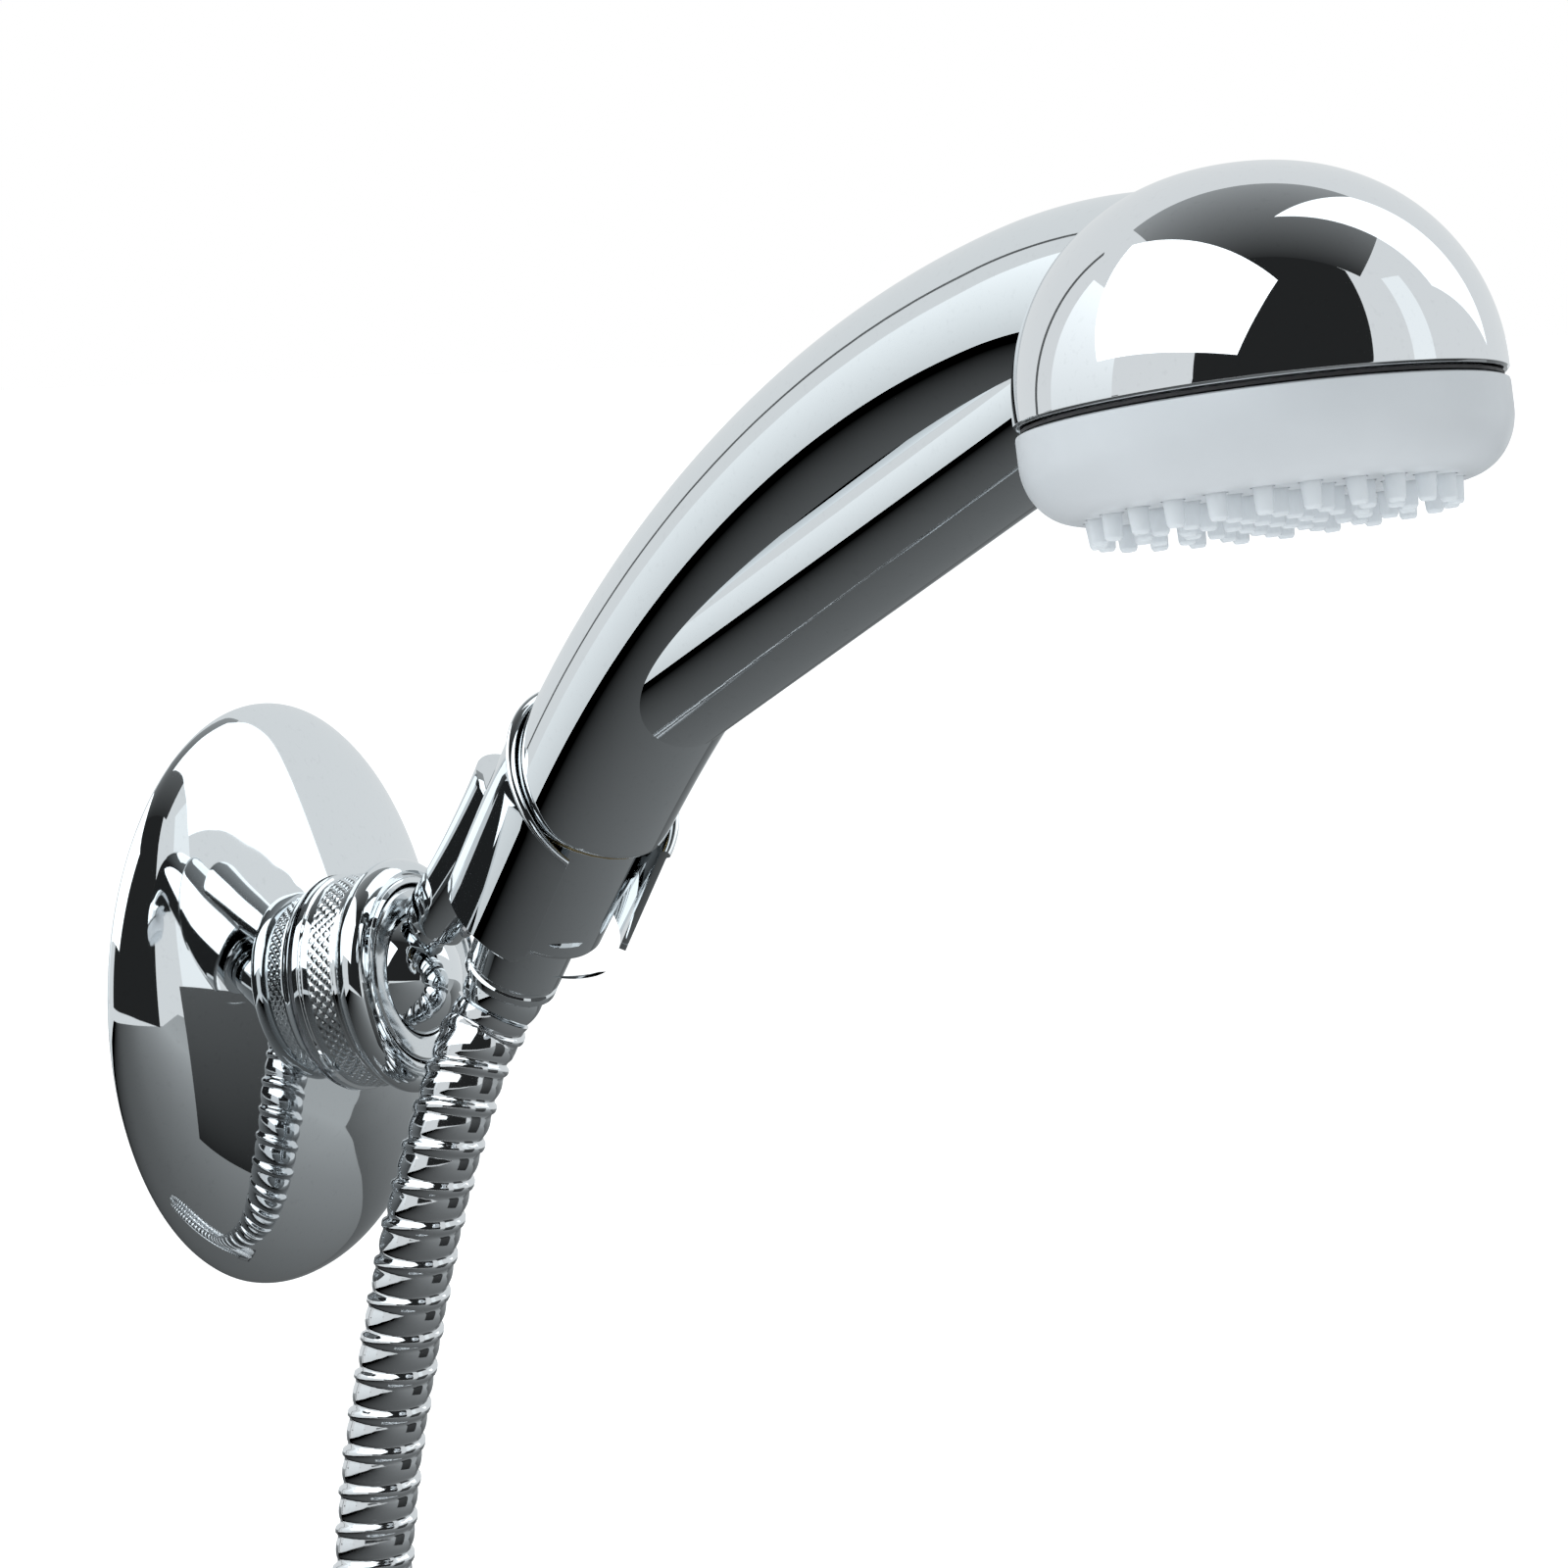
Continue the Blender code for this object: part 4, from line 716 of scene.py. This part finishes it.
# ---- small and inner pieces keep their own solids ----
def dressInnerPieces():
    finishes = dict(
        turnedBrass=(turnedMetal("turnedBrass", (0.72, 0.55, 0.25), 0.28),
                     ("hose_nipple", "inlet_insert", "tap_nipple")),
        zincSteel=(turnedMetal("zincSteel", (0.60, 0.61, 0.63), 0.30),
                   ("wall_plate", "wall_screw_1", "wall_screw_2", "wall_screw_3", "grub_screw")),
        nylon=(mouldedPlastic("nylon", (0.60, 0.62, 0.64), 0.45), ("rear_seat", "front_seat")),
        greyPlastic=(mouldedPlastic("innerPlastic", (0.50, 0.52, 0.55), 0.40),
                     ("distributor", "water_pipe", "flow_regulator")),
        blackRubber=(mouldedPlastic("blackRubber", (0.025, 0.025, 0.028), 0.60),
                     ("hose_washer", "head_gasket", "hose_tie", "tap_washer")))
    for mat, nodes in finishes.values():
        for name in nodes:
            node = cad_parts[name]
            node.data.materials.clear()
            node.data.materials.append(mat)


dressInnerPieces()


# ---- studio ----
studio = dict(
    floor=-0.335, world=0.78, centre=(-0.05, -0.15, 0.06),
    # name, corners towards the camera's right, up and back, their distance,
    # strength, and strength along the last edge where it fades
    cards=(
        ("softbox", ((-0.766, 1.112, -0.375), (0.132, 0.997, 0.792), (-0.271, 0.356, 1.274),
                     (-1.308, 0.298, 0.177)), 1.3, 2.0, None),
        ("darkFront", ((-0.65, -0.10, 1.0), (0.80, -0.10, 0.72), (0.70, 1.1, 0.50), (-0.35, 1.5, 0.60)),
         2.6, 0.02, None),
        ("darkAbove", ((-0.80, 1.2, 0.55), (0.80, 1.0, 0.45), (0.75, 1.2, -0.80), (-0.80, 1.3, -0.80)),
         2.6, 0.03, 0.34),
        ("table", ((1.6, -0.50, -0.9), (1.6, -0.16, 1.3), (-0.95, -0.28, 1.3), (-0.90, -0.36, -0.9)),
         1.5, 0.42, -0.04),
        ("tableBack", ((2.6, -0.20, -2.0), (-2.2, -0.20, -2.0), (-0.90, -0.36, -0.9), (1.6, -0.50, -0.9)),
         1.5, 0.38, 0.12),
        ("tableRight", ((2.6, 0.00, 1.3), (2.6, -0.20, -2.0), (1.6, -0.50, -0.9), (1.6, -0.16, 1.3)),
         1.5, 0.40, 0.42),
        ("leftPanel", ((-1.1, -0.45, 0.35), (-0.95, -0.45, -0.42), (-0.95, 0.8, -0.42), (-1.1, 0.8, 0.35)),
         1.6, 0.70, 1.25),
        ("leftGap", ((-0.80, -0.3, -0.60), (-0.77, -0.3, -0.63), (-0.77, 0.9, -0.63), (-0.80, 0.9, -0.60)),
         1.8, 0.12, None),
        ("leftLine", ((-1.3, -0.10, 0.50), (-1.0, -0.10, -0.60), (-1.0, -0.07, -0.60), (-1.3, -0.07, 0.50)),
         1.5, 0.10, None),
        ("stripRight", ((0.9, -0.12, 0.35), (1.0, -0.12, 0.15), (1.0, 0.9, 0.10), (0.9, 0.9, 0.30)),
         1.6, 1.0, None),
        ("darkOutward", ((0.34, -0.34, 0.12), (0.40, -0.34, -0.16), (0.40, 0.0, -0.16), (0.34, 0.0, 0.12)),
         1.0, 0.02, 0.10),
        ("upperRight", ((0.30, 0.20, 0.0), (0.75, 0.20, -0.5), (0.45, 1.0, -0.6), (0.10, 1.0, 0.0)),
         1.4, 1.5, None)))


def inView(right, up, back, distance):
    # a place around the object, given in the camera's own directions
    axes = [Vector(camera[k]) for k in ("right", "up", "back")]
    return Vector(studio["centre"]) + (axes[0] * right + axes[1] * up + axes[2] * back) * distance


def card(name, corners, distance, strength, fade):
    # a flat panel that is only seen in reflections; fade is the strength along its last edge
    points = [tuple(inView(*corner, distance)) for corner in corners]
    mesh = bpy.data.meshes.new(name)
    mesh.from_pydata(points, [], [(0, 1, 2, 3)])
    mesh.uv_layers.new(name="UVMap")
    for i, uv in enumerate(((0, 0), (1, 0), (1, 1), (0, 1))):
        mesh.uv_layers[0].data[i].uv = uv
    mat = bpy.data.materials.new(name)
    mat.use_nodes = True
    tree = mat.node_tree
    tree.nodes.clear()
    glow = tree.nodes.new("ShaderNodeEmission")
    glow.inputs["Color"].default_value = (0.93, 0.98, 1.0, 1)
    glow.inputs["Strength"].default_value = strength
    if fade is not None:
        place = tree.nodes.new("ShaderNodeTexCoord")
        split = tree.nodes.new("ShaderNodeSeparateXYZ")
        tree.links.new(place.outputs["UV"], split.inputs["Vector"])
        tree.links.new(ranged(tree, split.outputs["Y"], strength, fade, 0, 1), glow.inputs["Strength"])
    out = tree.nodes.new("ShaderNodeOutputMaterial")
    tree.links.new(glow.outputs["Emission"], out.inputs["Surface"])
    mesh.materials.append(mat)
    panel = bpy.data.objects.new(name, mesh)
    bpy.context.collection.objects.link(panel)
    panel.visible_camera = False
    panel.visible_shadow = False
    panel.visible_diffuse = strength > 1


def buildStudio():
    for name, corners, distance, strength, fade in studio["cards"]:
        card(name, corners, distance, strength, fade)
    world = bpy.data.worlds.new("studio")
    bpy.context.scene.world = world
    world.use_nodes = True
    tree = world.node_tree
    sky = tree.nodes["Background"]
    sky.inputs["Color"].default_value = (0.95, 0.985, 1, 1)
    sky.inputs["Strength"].default_value = studio["world"]
    seen = tree.nodes.new("ShaderNodeBackground")
    seen.inputs["Color"].default_value = (1, 1, 1, 1)
    path = tree.nodes.new("ShaderNodeLightPath")
    mix = tree.nodes.new("ShaderNodeMixShader")
    tree.links.new(path.outputs["Is Camera Ray"], mix.inputs["Fac"])
    tree.links.new(sky.outputs["Background"], mix.inputs[1])
    tree.links.new(seen.outputs["Background"], mix.inputs[2])
    tree.links.new(mix.outputs["Shader"], tree.nodes["World Output"].inputs["Surface"])
    z = studio["floor"]
    mesh = bpy.data.meshes.new("floor")
    mesh.from_pydata([(-20, -20, z), (20, -20, z), (20, 20, z), (-20, 20, z)], [], [(0, 1, 2, 3)])
    mat, tree, shader = newMaterial("paleFloor")
    shader.inputs["Base Color"].default_value = (0.93, 0.93, 0.93, 1)
    shader.inputs["Roughness"].default_value = 0.9
    shader.inputs["Emission Color"].default_value = (1, 1, 1, 1)
    shader.inputs["Emission Strength"].default_value = 0.5
    mesh.materials.append(mat)
    floor = bpy.data.objects.new("floor", mesh)
    bpy.context.collection.objects.link(floor)
    floor.visible_glossy = False


buildStudio()
print("studio lit")
